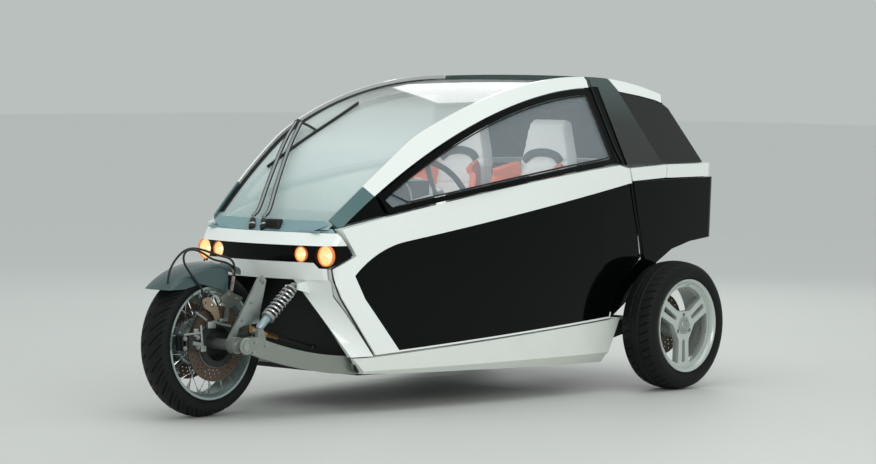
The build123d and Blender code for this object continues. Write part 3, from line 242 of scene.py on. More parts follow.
def swept(path, section, up=(0, 0, 1), loop=False):
    """A closed section of (across, up) offsets carried along a path; up may be one direction or one a point."""
    path = np.array(path, float)
    ups = np.array(up, float)
    ups = np.tile(ups, (len(path), 1)) if ups.ndim == 1 else ups
    ahead = np.roll(path, -1, 0) - np.roll(path, 1, 0) if loop else np.gradient(path, axis=0)
    points, count = [], len(section)
    for spot, along, high in zip(path, ahead, ups):
        along = along / np.linalg.norm(along)
        across = np.cross(along, high)
        across /= np.linalg.norm(across)
        high = np.cross(across, along)
        points += [spot + across * u + high * v for u, v in section]
    faces = []
    rings = len(path)
    for s in range(rings if loop else rings - 1):
        here, there = s * count, (s + 1) % rings * count
        for k in range(count):
            n = (k + 1) % count
            faces.append([here + k, here + n, there + n, there + k])
    if not loop:
        faces.append(list(reversed(range(count))))
        faces.append([(rings - 1) * count + k for k in range(count)])
    return np.array(points), faces


def circle(radius, sides=12, centre=(0.0, 0.0), start=0.0):
    return [(centre[0] + radius * cos(start + 2 * pi * k / sides), centre[1] + radius * sin(start + 2 * pi * k / sides))
            for k in range(sides)]


def tube(points, radius, sides=12, steps=6):
    return swept(smooth_path(points, steps) if steps > 1 else points, circle(radius, sides), (0.13, 0.21, 0.97))


def rounded(points, radius, steps=4):
    """An outline with its corners turned into arcs."""
    out = []
    count = len(points)
    for i in range(count):
        a, b, c = (np.array(points[j % count], float) for j in (i - 1, i, i + 1))
        r = min(radius, 0.45 * np.linalg.norm(a - b), 0.45 * np.linalg.norm(c - b))
        start, end = b + (a - b) / np.linalg.norm(a - b) * r, b + (c - b) / np.linalg.norm(c - b) * r
        for t in np.linspace(0, 1, steps + 1):
            out.append(tuple((1 - t) ** 2 * start + 2 * t * (1 - t) * b + t * t * end))
    return out


def plate(outlines, low, high, bevel=1.5, lay=lambda u, v, w: (w, u, v)):
    """Flat plate with holes: closed (u, v) outlines, its thickness from low to high along w."""
    curve = bpy.data.curves.new("plate", "CURVE")
    curve.dimensions = "2D"
    curve.fill_mode = "BOTH"
    curve.extrude = (high - low) / 2 - bevel
    curve.bevel_depth = bevel
    curve.bevel_resolution = 1
    curve.offset = -bevel
    for outline in outlines:
        spline = curve.splines.new("POLY")
        spline.points.add(len(outline) - 1)
        for point, (u, v) in zip(spline.points, outline):
            point.co = (u, v, 0, 1)
        spline.use_cyclic_u = True
    holder = bpy.data.objects.new("plate", curve)
    flat = bpy.data.meshes.new_from_object(holder)
    points = [lay(v.co.x, v.co.y, v.co.z + (low + high) / 2) for v in flat.vertices]
    faces = [list(face.vertices) for face in flat.polygons]
    bpy.data.objects.remove(holder)
    bpy.data.curves.remove(curve)
    bpy.data.meshes.remove(flat)
    return np.array(points), faces


def block(centre, size, radius, turn=None):
    """Box with rounded edges."""
    bm = bmesh.new()
    bmesh.ops.create_cube(bm, size=1.0)
    bmesh.ops.scale(bm, vec=size, verts=bm.verts)
    bmesh.ops.bevel(bm, geom=bm.edges[:], offset=radius, segments=3, affect="EDGES", profile=0.5)
    if turn is not None:
        bmesh.ops.transform(bm, matrix=turn, verts=bm.verts)
    bm.verts.index_update()
    points = np.array([v.co[:] for v in bm.verts]) + np.array(centre, float)
    faces = [[v.index for v in face.verts] for face in bm.faces]
    bm.free()
    return points, faces


def grid(rows):
    """Closed skin over rings of points, one ring after another and the last joined to the first."""
    rows = np.asarray(rows, float)
    n, m = rows.shape[:2]
    i, j = np.meshgrid(np.arange(n), np.arange(m), indexing="ij")
    i2, j2 = (i + 1) % n, (j + 1) % m
    faces = np.stack([i * m + j, i2 * m + j, i2 * m + j2, i * m + j2], -1).reshape(-1, 4)
    return rows.reshape(-1, 3), faces.tolist()


def settle(mesh, name, material, body, replaces=(), angle=34.0):
    """Gives a finished mesh its material, smooth shading and body."""
    mesh.name = name
    mesh.materials.clear()
    mesh.materials.append(material)
    mesh.shade_smooth()
    mesh.set_sharp_from_angle(angle=radians(angle))
    thing = bpy.data.objects.new(name, mesh)
    bpy.context.scene.collection.objects.link(thing)
    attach(thing, body)
    if replaces:
        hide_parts(*replaces)
    return thing


def piece(name, shape, material, body, replaces=(), angle=34.0, outward=True):
    """A shape made in code becomes a piece of the car."""
    mesh = bpy.data.meshes.new(name)
    mesh.from_pydata(place(shape[0]).tolist(), [], shape[1])
    if outward:
        bm = bmesh.new()
        bm.from_mesh(mesh)
        bmesh.ops.recalc_face_normals(bm, faces=bm.faces)
        bm.to_mesh(mesh)
        bm.free()
    mesh.validate()
    return settle(mesh, name, material, body, replaces, angle)


# Geometry node trees: small parts that repeat are set on points that carry their direction and size

def small_part_tree(name, sizes, build):
    """A tree that puts one small part on every point, turned and scaled by the point's own attributes."""
    tree = bpy.data.node_groups.new(name, "GeometryNodeTree")
    tree.interface.new_socket("Geometry", in_out="INPUT", socket_type="NodeSocketGeometry")
    for label, value in sizes.items():
        tree.interface.new_socket(label, in_out="INPUT", socket_type="NodeSocketFloat").default_value = value
    tree.interface.new_socket("Finish", in_out="INPUT", socket_type="NodeSocketMaterial")
    tree.interface.new_socket("Geometry", in_out="OUTPUT", socket_type="NodeSocketGeometry")
    nodes, links = tree.nodes, tree.links
    given, result = nodes.new("NodeGroupInput"), nodes.new("NodeGroupOutput")
    spots = nodes.new("GeometryNodeMeshToPoints")
    put = nodes.new("GeometryNodeInstanceOnPoints")
    real = nodes.new("GeometryNodeRealizeInstances")
    dress = nodes.new("GeometryNodeSetMaterial")
    for label, socket in (("turn", "Rotation"), ("size", "Scale")):
        read = nodes.new("GeometryNodeInputNamedAttribute")
        read.data_type = "FLOAT_VECTOR"
        read.inputs["Name"].default_value = label
        links.new(read.outputs["Attribute"], put.inputs[socket])
    links.new(given.outputs["Geometry"], spots.inputs["Mesh"])
    links.new(spots.outputs["Points"], put.inputs["Points"])
    links.new(build(tree, given), put.inputs["Instance"])
    links.new(put.outputs["Instances"], real.inputs["Geometry"])
    links.new(real.outputs["Geometry"], dress.inputs["Geometry"])
    links.new(given.outputs["Finish"], dress.inputs["Material"])
    links.new(dress.outputs["Geometry"], result.inputs["Geometry"])
    return tree


def drum(tree, given, radius, depth, sides, lift=0.0):
    """A short cylinder node whose foot stands at lift times its depth above the point."""
    barrel = tree.nodes.new("GeometryNodeMeshCylinder")
    barrel.inputs["Vertices"].default_value = sides
    raise_it = tree.nodes.new("GeometryNodeTransform")
    height = tree.nodes.new("ShaderNodeMath")
    height.operation = "MULTIPLY"
    height.inputs[1].default_value = lift
    up = tree.nodes.new("ShaderNodeCombineXYZ")
    tree.links.new(given.outputs[radius], barrel.inputs["Radius"])
    tree.links.new(given.outputs[depth], barrel.inputs["Depth"])
    tree.links.new(given.outputs[depth], height.inputs[0])
    tree.links.new(height.outputs[0], up.inputs["Z"])
    tree.links.new(up.outputs["Vector"], raise_it.inputs["Translation"])
    tree.links.new(barrel.outputs["Mesh"], raise_it.inputs["Geometry"])
    return raise_it.outputs["Geometry"]


def bolt_parts(tree, given):
    """A washer with a six sided head on it and a round dome on that."""
    join = tree.nodes.new("GeometryNodeJoinGeometry")
    tree.links.new(drum(tree, given, "Washer radius", "Washer height", 20, 0.5), join.inputs["Geometry"])
    tree.links.new(drum(tree, given, "Head radius", "Head height", 6, 0.7), join.inputs["Geometry"])
    tree.links.new(drum(tree, given, "Stud radius", "Stud height", 12, 0.5), join.inputs["Geometry"])
    return join.outputs["Geometry"]


def rod_parts(tree, given):
    return drum(tree, given, "Radius", "Length", 8, 0.5)


BOLTS = small_part_tree("bolts", {"Washer radius": 0.0095, "Washer height": 0.002, "Head radius": 0.0075, "Head height": 0.0055,
                                  "Stud radius": 0.004, "Stud height": 0.0095}, bolt_parts)
RODS = small_part_tree("rods", {"Radius": 0.001, "Length": 0.001}, rod_parts)


def scattered(name, tree, spots, material, body, replaces=()):
    """Runs a tree on (point, direction, (scale x, y, z)) entries and keeps the plain mesh that it gives."""
    mesh = bpy.data.meshes.new(name)
    mesh.from_pydata(place([spot[0] for spot in spots]).tolist(), [], [])
    for label in ("turn", "size"):
        mesh.attributes.new(label, "FLOAT_VECTOR", "POINT")
    for i, (_, direction, size) in enumerate(spots):
        mesh.attributes["turn"].data[i].vector = Vector(direction).to_track_quat("Z", "Y").to_euler()
        mesh.attributes["size"].data[i].vector = size
    holder = bpy.data.objects.new(name, mesh)
    bpy.context.scene.collection.objects.link(holder)
    modifier = holder.modifiers.new("tree", "NODES")
    modifier.node_group = tree
    for item in tree.interface.items_tree:
        if item.item_type == "SOCKET" and item.in_out == "INPUT" and item.name == "Finish":
            modifier[item.identifier] = material
    graph = bpy.context.evaluated_depsgraph_get()
    result = bpy.data.meshes.new_from_object(holder.evaluated_get(graph))
    holder.modifiers.clear()
    bpy.data.objects.remove(holder)
    bpy.data.meshes.remove(mesh)
    return settle(result, name, material, body, replaces, 30.0)


def bolt(point, direction, size=1.0):
    return point, direction, (size, size, size)


def rod(start, end, radius):
    """Entry for a rod between two points."""
    way = np.array(end, float) - np.array(start, float)
    return start, tuple(way), (radius, radius, float(np.linalg.norm(way)))


def two_sides(spots):
    """The same entries on the car's other side as well."""
    return spots + [((-p[0], p[1], p[2]), (-d[0], d[1], d[2]), s) for p, d, s in spots]


# The body's own surfaces, as arcs

def arc_half(y, half, peak, fore, aft):
    r = fore if y < peak else aft
    return half - r + sqrt(r * r - (y - peak) ** 2)


def hull_half(y, z):
    return arc_half(y, 578.0, 1900.0, 6300.0, 9000.0) + 0.035 * (z - 800.0)


def cabin_half(y, z):
    return arc_half(y, 553.0, 1600.0, 2750.0, 13500.0) - 0.33 * (z - 1000.0)


def roof_line(steps=14):
    """Points (y, z, angle) along the roof, from the windscreen's foot to the tail."""
    y, z, angle = 394.0, 798.0, 40.1
    line = [(y, z, angle)]
    for turn, radius in ((5.1, 5638.0), (10.0, 699.0), (25.0, 2438.0), (16.0, 2030.0)):
        for k in range(1, steps + 1):
            a, b = radians(angle), radians(angle - turn * k / steps)
            line.append((y + radius * (sin(a) - sin(b)), z + radius * (cos(b) - cos(a)), angle - turn * k / steps))
        y, z, angle = line[-1]
    return line


# Carried-over CAD surfaces get their finishes

FINISHES = {
    WHITE: ("nose_band", "nose_frame", "roof_arches", "rear_belts", "door_left", "door_right", "canopy"),
    LOWER_WHITE: ("sills",),
    BLACK: ("door_posts", "tail_shell", "lamp_strip", "door_panel_left", "door_panel_right", "door_sash_left",
            "door_sash_right", "quarter_panels"),
    HOOP: ("hoop",),
    TEAL: ("pillar_feet",),
    GUARD: ("mudguard",),
    COWL: ("cowl",),
    SCREEN: ("windscreen",),
    SIDE_GLASS: ("door_glass_left", "door_glass_right"),
    REAR_GLASS: ("canopy_glass",),
    GREY_FLOOR: ("floor_tub", "rear_subframe"),
    PLASTIC: ("dashboard",),
    HUB_CAST: ("hub_carrier",),
    ZINC: ("front_axle",),
    STRAP: ("guard_bracket",),
    ALLOY: ("swing_arms",),
    STEEL: ("steering_rod",),
    DEEP_CHROME: ("front_rim",),
}


def dress_nodes():
    for finish, names in FINISHES.items():
        for name in names:
            NODES[name].data.materials.clear()
            NODES[name].data.materials.append(finish)


# Tyres

def arc3(a, m, b, count):
    """Points on the circle through three points, a to b."""
    (ax, ay), (bx, by), (cx, cy) = a, m, b
    d = 2 * (ax * (by - cy) + bx * (cy - ay) + cx * (ay - by))
    ux = ((ax * ax + ay * ay) * (by - cy) + (bx * bx + by * by) * (cy - ay) + (cx * cx + cy * cy) * (ay - by)) / d
    uy = ((ax * ax + ay * ay) * (cx - bx) + (bx * bx + by * by) * (ax - cx) + (cx * cx + cy * cy) * (bx - ax)) / d
    r = hypot(ax - ux, ay - uy)
    first, mid, last = (np.arctan2(y - uy, x - ux) for x, y in (a, m, b))
    while mid - first > pi: mid -= 2 * pi
    while mid - first < -pi: mid += 2 * pi
    while last - mid > pi: last -= 2 * pi
    while last - mid < -pi: last += 2 * pi
    return [(ux + r * cos(t), uy + r * sin(t)) for t in np.linspace(first, last, count)]


def tyre(profile_arcs, counts, centre, around, tread_half, groove, outer):
    """A tyre of (across, radius) arcs from bead to bead, with grooves cut where groove() says how deep."""
    profile = []
    for (a, m, b), count in zip(profile_arcs, counts):
        profile += arc3(a, m, b, count)[:-1]
    profile.append(profile_arcs[-1][2])
    profile = np.array(profile)
    slope = np.gradient(profile, axis=0)
    normal = np.stack([slope[:, 1], -slope[:, 0]], 1)
    normal /= np.linalg.norm(normal, axis=1)[:, None]
    if normal[len(normal) // 2, 1] > 0:
        normal = -normal
    rows = []
    for step in range(around):
        t = step / around
        depth = np.array([groove(u, r, t) if abs(u) < tread_half else side_rings(r, outer) for u, r in profile])
        cut = profile + normal * depth[:, None]
        a = 2 * pi * t
        rows.append([(centre[0] + u, centre[1] + r * cos(a), centre[2] + r * sin(a)) for u, r in cut])
    return grid(rows)


def side_rings(r, outer):
    """Moulded rings low on the tyre's wall."""
    low = outer - r
    return -1.2 if 34 < low < 37 or 41 < low < 43 else 0.0


def groove_depth(distance, half, deep):
    return deep * min(1.0, max(0.0, (half - abs(distance)) / 1.6))


def front_groove(u, r, t):
    """Slanting grooves that start beside the middle and sweep back to the shoulders."""
    slant = t * 34 + (abs(u) / 58) ** 1.3 * (1.15 if u > 0 else -1.15) + (0.0 if u > 0 else 0.5)
    off = (slant - round(slant)) * 2 * pi * r / 34
    side_cut = groove_depth(off, 4.6, 5.0) if 9 < abs(u) < 60 else 0.0
    short = slant + 0.5
    off = (short - round(short)) * 2 * pi * r / 34
    return max(side_cut, groove_depth(off, 3.0, 3.5) if 38 < abs(u) < 64 else 0.0)


def rear_groove(u, r, t):
    """Two straight grooves round the tread and slanting ones between them and the shoulders."""
    ring_cut = max(groove_depth(abs(u) - 22.0, 4.4, 5.5), groove_depth(u, 2.2, 4.0))
    slant = t * 46 + u / 95
    off = (slant - round(slant)) * 2 * pi * r / 46
    return max(ring_cut, groove_depth(off, 3.4, 5.0) if 24 < abs(u) < 74 else 0.0)


def make_tyres():
    front = (((-56, 232), (-70, 258), (-58, 282)), ((-58, 282), (0, 303), (58, 282)), ((58, 282), (70, 258), (56, 232)))
    piece("front_tread_tyre", tyre(front, (8, 44, 8), FRONT_AXLE, 816, 64, front_groove, 303), TYRE, "front_wheel",
          ("front_tyre",), 40)
    rear = (((-76, 208), (-87.5, 240), (-70, 276)), ((-70, 276), (0, 287), (70, 276)), ((70, 276), (87.5, 240), (76, 208)))
    for side, sign in (("left", 1), ("right", -1)):
        centre = (sign * REAR_MID, REAR_AXLE_Y, REAR_AXLE_Z)
        piece(f"rear_tread_tyre_{side}", tyre(rear, (10, 44, 10), centre, 828, 78, rear_groove, 287), TYRE,
              f"rear_wheel_{side}", (f"rear_tyre_{side}",), 40)


# Front wheel: crossing wire spokes with nipples, drilled brake discs

def make_front_wheel():
    x0, y0, z0 = FRONT_AXLE
    wires, nipples = [], []
    for number in range(40):
        sign = 1 if number % 2 else -1
        a = radians(number * 9.0)
        b = a + radians(17 if number % 4 < 2 else -17)
        start = np.array((sign * (50 + (3 if number % 4 < 2 else -3)), y0 + 93 * cos(a), z0 + 93 * sin(a)))
        end = np.array((sign * 14.0, y0 + 205 * cos(b), z0 + 205 * sin(b)))
        way = (end - start) / np.linalg.norm(end - start)
        wires.append(rod(tuple(start), tuple(end), 2.0))
        nipples.append(rod(tuple(end - way * 16), tuple(end + way * 2), 3.6))
        nipples.append(rod(tuple(start - way * 3), tuple(start + way * 4), 3.4))
    scattered("front_wire_spokes", RODS, wires, CHROME, "front_wheel", ("front_spokes",))
    scattered("front_spoke_nipples", RODS, nipples, ZINC, "front_wheel")
    discs = []
    for low in (76.0, -82.0):
        outlines = [circle(155, 180, (y0, z0)), circle(99, 120, (y0, z0))]
        for ring_number, (radius, count) in enumerate(((110, 30), (124, 30), (138, 30))):
            for k in range(count):
                a = 2 * pi * (k + ring_number / 3) / count
                outlines.append(circle(4.0, 10, (y0 + radius * cos(a), z0 + radius * sin(a))))
        discs.append(plate(outlines, low, low + 6.0, 0.6))
    piece("drilled_discs", merged(*discs), DISC, "front_wheel", ("front_discs",))
    carriers = [turned(((62.5, 86.0), (62.5, 97.0), (70, 99.0), (83, 99.0), (84, 97), (84, 86.0)), (0, y0, z0), steps=72, loop=True)]
    piece("disc_carriers", both(merged(*carriers)), CAST, "front_wheel")
    studs = [bolt((84.0, y0 + 92.5 * cos(a), z0 + 92.5 * sin(a)), (1, 0, 0), 0.62) for a in np.arange(10) * 2 * pi / 10]
    scattered("disc_bolts", BOLTS, two_sides(studs), ZINC, "front_wheel")


# Rear wheels: deep barrel, three pairs of spokes with a slot in each pair

def rear_rim_shape():
    x0, y0, z0 = REAR_MID, REAR_AXLE_Y, REAR_AXLE_Z
    barrel = turned(((-78, 207.5), (-78, 197), (-66, 193), (20, 183), (60, 186), (76, 193), (82, 199), (85, 204), (83, 207.5)),
                    (x0, y0, z0), steps=120, loop=True)
    outlines = [circle(187, 120, (y0, z0))]
    for pair in range(3):
        axis = radians(-90 + 120 * pair)
        along, over = np.array((cos(axis), sin(axis))), np.array((-sin(axis), cos(axis)))
        slot = [(64, -8), (164, -12), (164, 12), (64, 8)]
        outlines.append([(y0 + p[0], z0 + p[1]) for p in rounded([along * d + over * h for d, h in slot], 8)])
        middle = radians(-30 + 120 * pair)
        after = radians(30 + 120 * pair)
        start, end = along * 68 + over * 35, along * 168 + over * 39
        back = np.array((cos(after), sin(after)))
        side = -np.array((-sin(after), cos(after)))
        far, near = back * 168 + side * 39, back * 68 + side * 35
        first = np.arctan2(end[1], end[0])
        sweep = first + np.linspace(0, (np.arctan2(far[1], far[0]) - first) % (2 * pi), 14)
        rim_arc = [(173 * cos(a), 173 * sin(a)) for a in sweep]
        window = rounded([tuple(start)] + rim_arc + [tuple(near)], 10, 3)
        outlines.append([(y0 + u, z0 + v) for u, v in window])
        outlines.append(circle(9.5, 20, (y0 + 47 * cos(middle), z0 + 47 * sin(middle))))
    outlines.append(circle(24, 40, (y0, z0)))
    face = plate(outlines, x0 + 26, x0 + 62, 3.0)
    hub = turned(((-38, 27), (-38, 52), (26, 60), (30, 56), (30, 27)), (x0, y0, z0), steps=64, loop=True)
    step = turned(((58, 178), (58, 190), (64, 192), (66, 188), (66, 180)), (x0, y0, z0), steps=120, loop=True)
    return merged(barrel, face, hub, step)


def make_rear_wheels():
    holes = [circle(5, 10, (REAR_AXLE_Y + r * cos(a + r), REAR_AXLE_Z + r * sin(a + r))) for r in (88, 106, 124)
             for a in np.arange(24) * pi / 12]
    disc = plate([circle(138, 120, (REAR_AXLE_Y, REAR_AXLE_Z)), circle(50, 60, (REAR_AXLE_Y, REAR_AXLE_Z))] + holes,
                 REAR_MID - 66, REAR_MID - 60, 0.6)
    hat = turned(((-67, 30), (-67, 60), (-58, 60), (-56, 52), (-38, 50), (-38, 30)), (REAR_MID, REAR_AXLE_Y, REAR_AXLE_Z), steps=64, loop=True)
    for side, sign in (("left", 1), ("right", -1)):
        turn = (lambda s: s) if sign > 0 else mirrored
        body = f"rear_wheel_{side}"
        piece(f"rear_brake_disc_{side}", turn(merged(disc, hat)), DISC, body)
        piece(f"twin_spoke_rim_{side}", turn(rear_rim_shape()), RIM_SILVER, body, (f"rear_rim_{side}",))
        cap = turned(((28, 25), (64, 25), (68, 23), (72, 16), (73, 0.5)), (REAR_MID, REAR_AXLE_Y, REAR_AXLE_Z), steps=48)
        nut = turned(((60, 27), (60, 40), (64, 42), (66, 39), (66, 27)), (REAR_MID, REAR_AXLE_Y, REAR_AXLE_Z), steps=6, loop=True)
        valve = tube(((REAR_MID + 60, REAR_AXLE_Y + 20, 470), (REAR_MID + 72, REAR_AXLE_Y + 20, 464)), 3.5, 10, 1)
        piece(f"wheel_centre_{side}", turn(merged(cap, nut, valve)), ZINC, body)
        lugs = []
        for pair in range(3):
            a = radians(-30 + 120 * pair)
            spot = (sign * (REAR_MID + 44), REAR_AXLE_Y + 47 * cos(a), REAR_AXLE_Z + 47 * sin(a))
            lugs.append(bolt(spot, (sign, 0, 0), 0.95))
        scattered(f"wheel_nuts_{side}", BOLTS, lugs, ZINC, body)


# Front suspension and steering

SHOCK_LOW, SHOCK_TOP, SHOCK_X = (94.0, 353.0), (312.0, 529.0), 217.0


def make_shocks():
    low, top = np.array((SHOCK_X, *SHOCK_LOW)), np.array((SHOCK_X, *SHOCK_TOP))
    way = top - low
    length = np.linalg.norm(way)
    axis, across, rise = frame_of(way)
    coil = []
    for t in np.linspace(0, 1, 200):
        a = 2 * pi * 7.2 * t
        u = length * (0.37 + 0.53 * t)
        coil.append(low + axis * u + (across * cos(a) + rise * sin(a)) * 25.5)
    spring = swept(coil, circle(4.6, 10), axis)
    piece("shock_springs", both(spring), CHROME, "body", ("front_shocks",))
    body = turned(((0.06 * length, 11), (0.1 * length, 16), (0.27 * length, 17), (0.34 * length, 18), (0.35 * length, 0.5)), low, axis, 40)
    piece("damper_bodies", both(body), BLUE_STEEL, "body")
    stem = turned(((0.345 * length, 0.5), (0.345 * length, 17), (0.66 * length, 17), (0.67 * length, 14), (0.68 * length, 7),
                   (0.92 * length, 7), (0.93 * length, 0.5)), low, axis, 40)
    piece("damper_stems", both(stem), DARK_CAST, "body")
    collar = turned(((0.3 * length, 17), (0.3 * length, 27), (0.31 * length, 29), (0.345 * length, 29), (0.355 * length, 27),
                     (0.36 * length, 17)), low, axis, 36, True)
    cap = turned(((0.9 * length, 6), (0.9 * length, 26), (0.93 * length, 26), (0.96 * length, 14), (0.97 * length, 6)), low, axis, 36, True)
    eyes = [turned(((-11, 5), (-11, 12), (-9, 13.5), (12, 13.5), (14, 12), (14, 5)), spot, (1, 0, 0), 32, True) for spot in (low, top)]
    piece("shock_collars_and_eyes", both(merged(collar, cap, *eyes)), ZINC, "body")


def make_front_details():
    """Bolts, calipers, axle end and rod fittings round the front wheel."""
    arm_turn = np.array((1.0, -0.19, 0.0))
    arm_turn /= np.linalg.norm(arm_turn)

    def on_arm(y, z, proud=0.0):
        return (258.0 + 0.19 * y + proud, y, z)
    disc = turned(((0, 5), (0, 33), (3, 35), (8, 35), (11, 32), (11, 16), (7, 13), (7, 5)), on_arm(0, 303, -1), tuple(arm_turn), 48, True)
    piece("arm_end_discs", both(disc), ALLOY, "body")
    spots = [bolt(on_arm(y, z), tuple(arm_turn), s) for y, z, s in ((42, 318, 1.0), (34, 278, 1.0), (95, 300, 0.9), (520, 218, 0.8))]
    spots += [bolt((175.0, y, z), (1, 0, 0), 1.0) for y, z in ((-6, 300), (60, 400), (110, 470), (165, 560), (178, 548))]
    scattered("front_bolts", BOLTS, two_sides(spots), ZINC, "body")
    spots = [bolt((96.0, y, z), (1, 0, 0), 0.8) for y, z in ((60, 500), (104, 480), (80, 548))]
    scattered("guard_bolts", BOLTS, two_sides(spots), ZINC, "steer")
    pivot = turned(((0, 8), (0, 19), (5, 26), (8, 28), (13, 28), (16, 24), (16, 12), (12, 8)), (372, 527, 197), steps=40, loop=True)
    piece("pivot_rings", both(pivot), RUBBER, "body")
    calipers = []
    for x, y, width, depth in ((93.5, -158, 19, 92), (66, -158, 17, 92), (80, -184, 46, 40)):
        calipers.append(block((x, y, 316), (width, depth, 66), 7))
    for dy in (-24, 0, 24):
        calipers.append(block((102, -158 + dy, 316), (8, 12, 52), 3))
    piece("caliper_bodies", both(merged(*calipers)), DARK_CAST, "steer")
    heads = [bolt((105.5, -158 + dy, 316 + dz), (1, 0, 0), 1.0) for dy, dz in ((-36, 20), (36, 20), (-36, -20), (36, -20))]
    scattered("caliper_bolts", BOLTS, two_sides(heads), ZINC, "steer")
    blocks = [block((102, -92, 288), (18, 30, 24), 4), block((102, -46, 382), (16, 44, 28), 4),
              block((100, -128, 350), (10, 24, 44), 3), block((103, 20, 398), (14, 44, 12), 3)]
    links = [tube((start, end), r, 12, 1) for start, end, r in (
        ((104, -200, 351), (104, -105, 353), 5), ((104, -105, 385), (104, -96, 288), 6), ((104, -40, 395), (104, 60, 372), 6),
        ((106, -155, 316), (106, -99, 304), 9), ((102, -133, 439), (102, -72, 403), 5))]
    piece("hub_links", both(merged(*blocks, *links)), ZINC, "steer", (), 40)
    tan = plate([rounded(((-96, 486), (-60, 498), (-8, 452), (4, 408), (-20, 392), (-40, 430), (-84, 452)), 10),
                 circle(7, 16, (-40, 462)), circle(5, 16, (-78, 472))], 97.5, 103.5, 1.0)
    piece("caliper_brackets", both(tan), TAN, "steer")
    knuckle = turned(((-14, 3), (-14, 13), (-10, 16), (10, 16), (14, 13), (14, 3)), (145, 140, 355), (0, 0, 1), 36, True)
    shank = turned(((10, 0.5), (10, 9), (66, 10.5), (70, 12), (92, 12), (96, 9.6), (150, 9.6), (154, 8), (155, 0.5)), (145, 140, 353), (0, 360, -93), 24)
    piece("rod_front_eye", merged(knuckle, shank), BRASS, "rod")


# Brake hoses follow the routes listed below

HOSE_OVER = ((60, -246, 554), (60, -241, 600), (60, -217, 637), (60, -185, 668), (60, -149, 688), (60, -110, 694),
             (60, -58, 686), (60, 4, 667), (76, 36, 656), (98, 54, 650), (110, 70, 634), (110, 80, 602), (102, 84, 574))
HOSE_LOOP = ((101, 92, 600), (100, 60, 628), (92, -16, 642), (92, -49, 655), (92, -95, 680), (92, -140, 692),
             (92, -178, 686), (92, -192, 662), (92, -186, 635), (92, -160, 603), (92, -117, 559), (92, -88, 531),
             (92, -80, 490), (92, -100, 440), (92, -128, 384), (92, -143, 351))


def hose(name, points):
    route = place(points)
    curve = bpy.data.curves.new(name, "CURVE")
    curve.dimensions = "3D"
    curve.bevel_depth = 0.0045
    curve.bevel_resolution = 4
    curve.resolution_u = 10
    spline = curve.splines.new("NURBS")
    spline.points.add(len(route) - 1)
    for point, spot in zip(spline.points, route):
        point.co = (*spot, 1.0)
    spline.order_u = 3
    spline.use_endpoint_u = True
    curve.use_fill_caps = True
    curve.materials.append(HOSE)
    thing = bpy.data.objects.new(name, curve)
    bpy.context.scene.collection.objects.link(thing)
    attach(thing, "steer")
    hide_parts("brake_hoses")
    return thing


# Lamps

LAMPS = ((352.0, 366.0, 656.0, 45.0, True), (240.0, 336.0, 660.0, 34.0, False))


def make_lamps():
    bowls, rims, lenses, bulbs = [], [], [], []
    for x, y, z, r, _ in LAMPS:
        inner = [(-6, r - 1.5), (0, r - 4), (9, r * 0.72), (14, r * 0.42), (15, 3.0)]
        outer = [(17, 3.0), (17, r * 0.5), (11, r * 0.8), (2, r - 1.5)]
        bowls.append(turned(inner + outer, (x, y - 2, z), (0, 1, 0), 48, True))
        rims.append(turned(((-10, r - 5), (-12, r - 3), (-10, r - 0.8), (2, r - 0.8), (2, r - 5)), (x, y, z), (0, 1, 0), 56, True))
        lenses.append(turned(((-5, r - 5), (-8, r * 0.8), (-11, r * 0.4), (-12, 0.5), (-10, 0.5), (-9, r * 0.4), (-6, r * 0.78), (-3, r - 5)),
                             (x, y, z), (0, 1, 0), 48, True))
        bulbs.append(turned(((2, 0.5), (3, 5), (8, 8), (13, 7), (14, 0.5)), (x, y - 2, z), (0, 1, 0), 24))
    piece("lamp_bowls", both(merged(*bowls)), LAMP_BOWL, "body", ("headlamps",))
    piece("lamp_rims", both(merged(*rims)), AMBER, "body")
    piece("lamp_lenses", both(merged(*lenses)), LAMP_LENS, "body")
    piece("lamp_bulbs", both(merged(*bulbs)), LAMP_GLOW, "body")


# Wipers

WIPER_ARMS = (
    ((-38, 322, 756), (-62, 352, 803), (-74, 398, 834), (-152, 528, 934), (-234, 670, 1041), (-296, 786, 1123), (-366, 918, 1193)),
    ((30, 321, 756), (3, 350, 802), (-10, 395, 832), (-94, 521, 929), (-182, 660, 1035), (-249, 773, 1114), (-324, 900, 1186)),
)
WIPER_BLADE = ((-284, 655, 997), (-223, 804, 1107), (-208, 976, 1194), (-246, 1179, 1270))


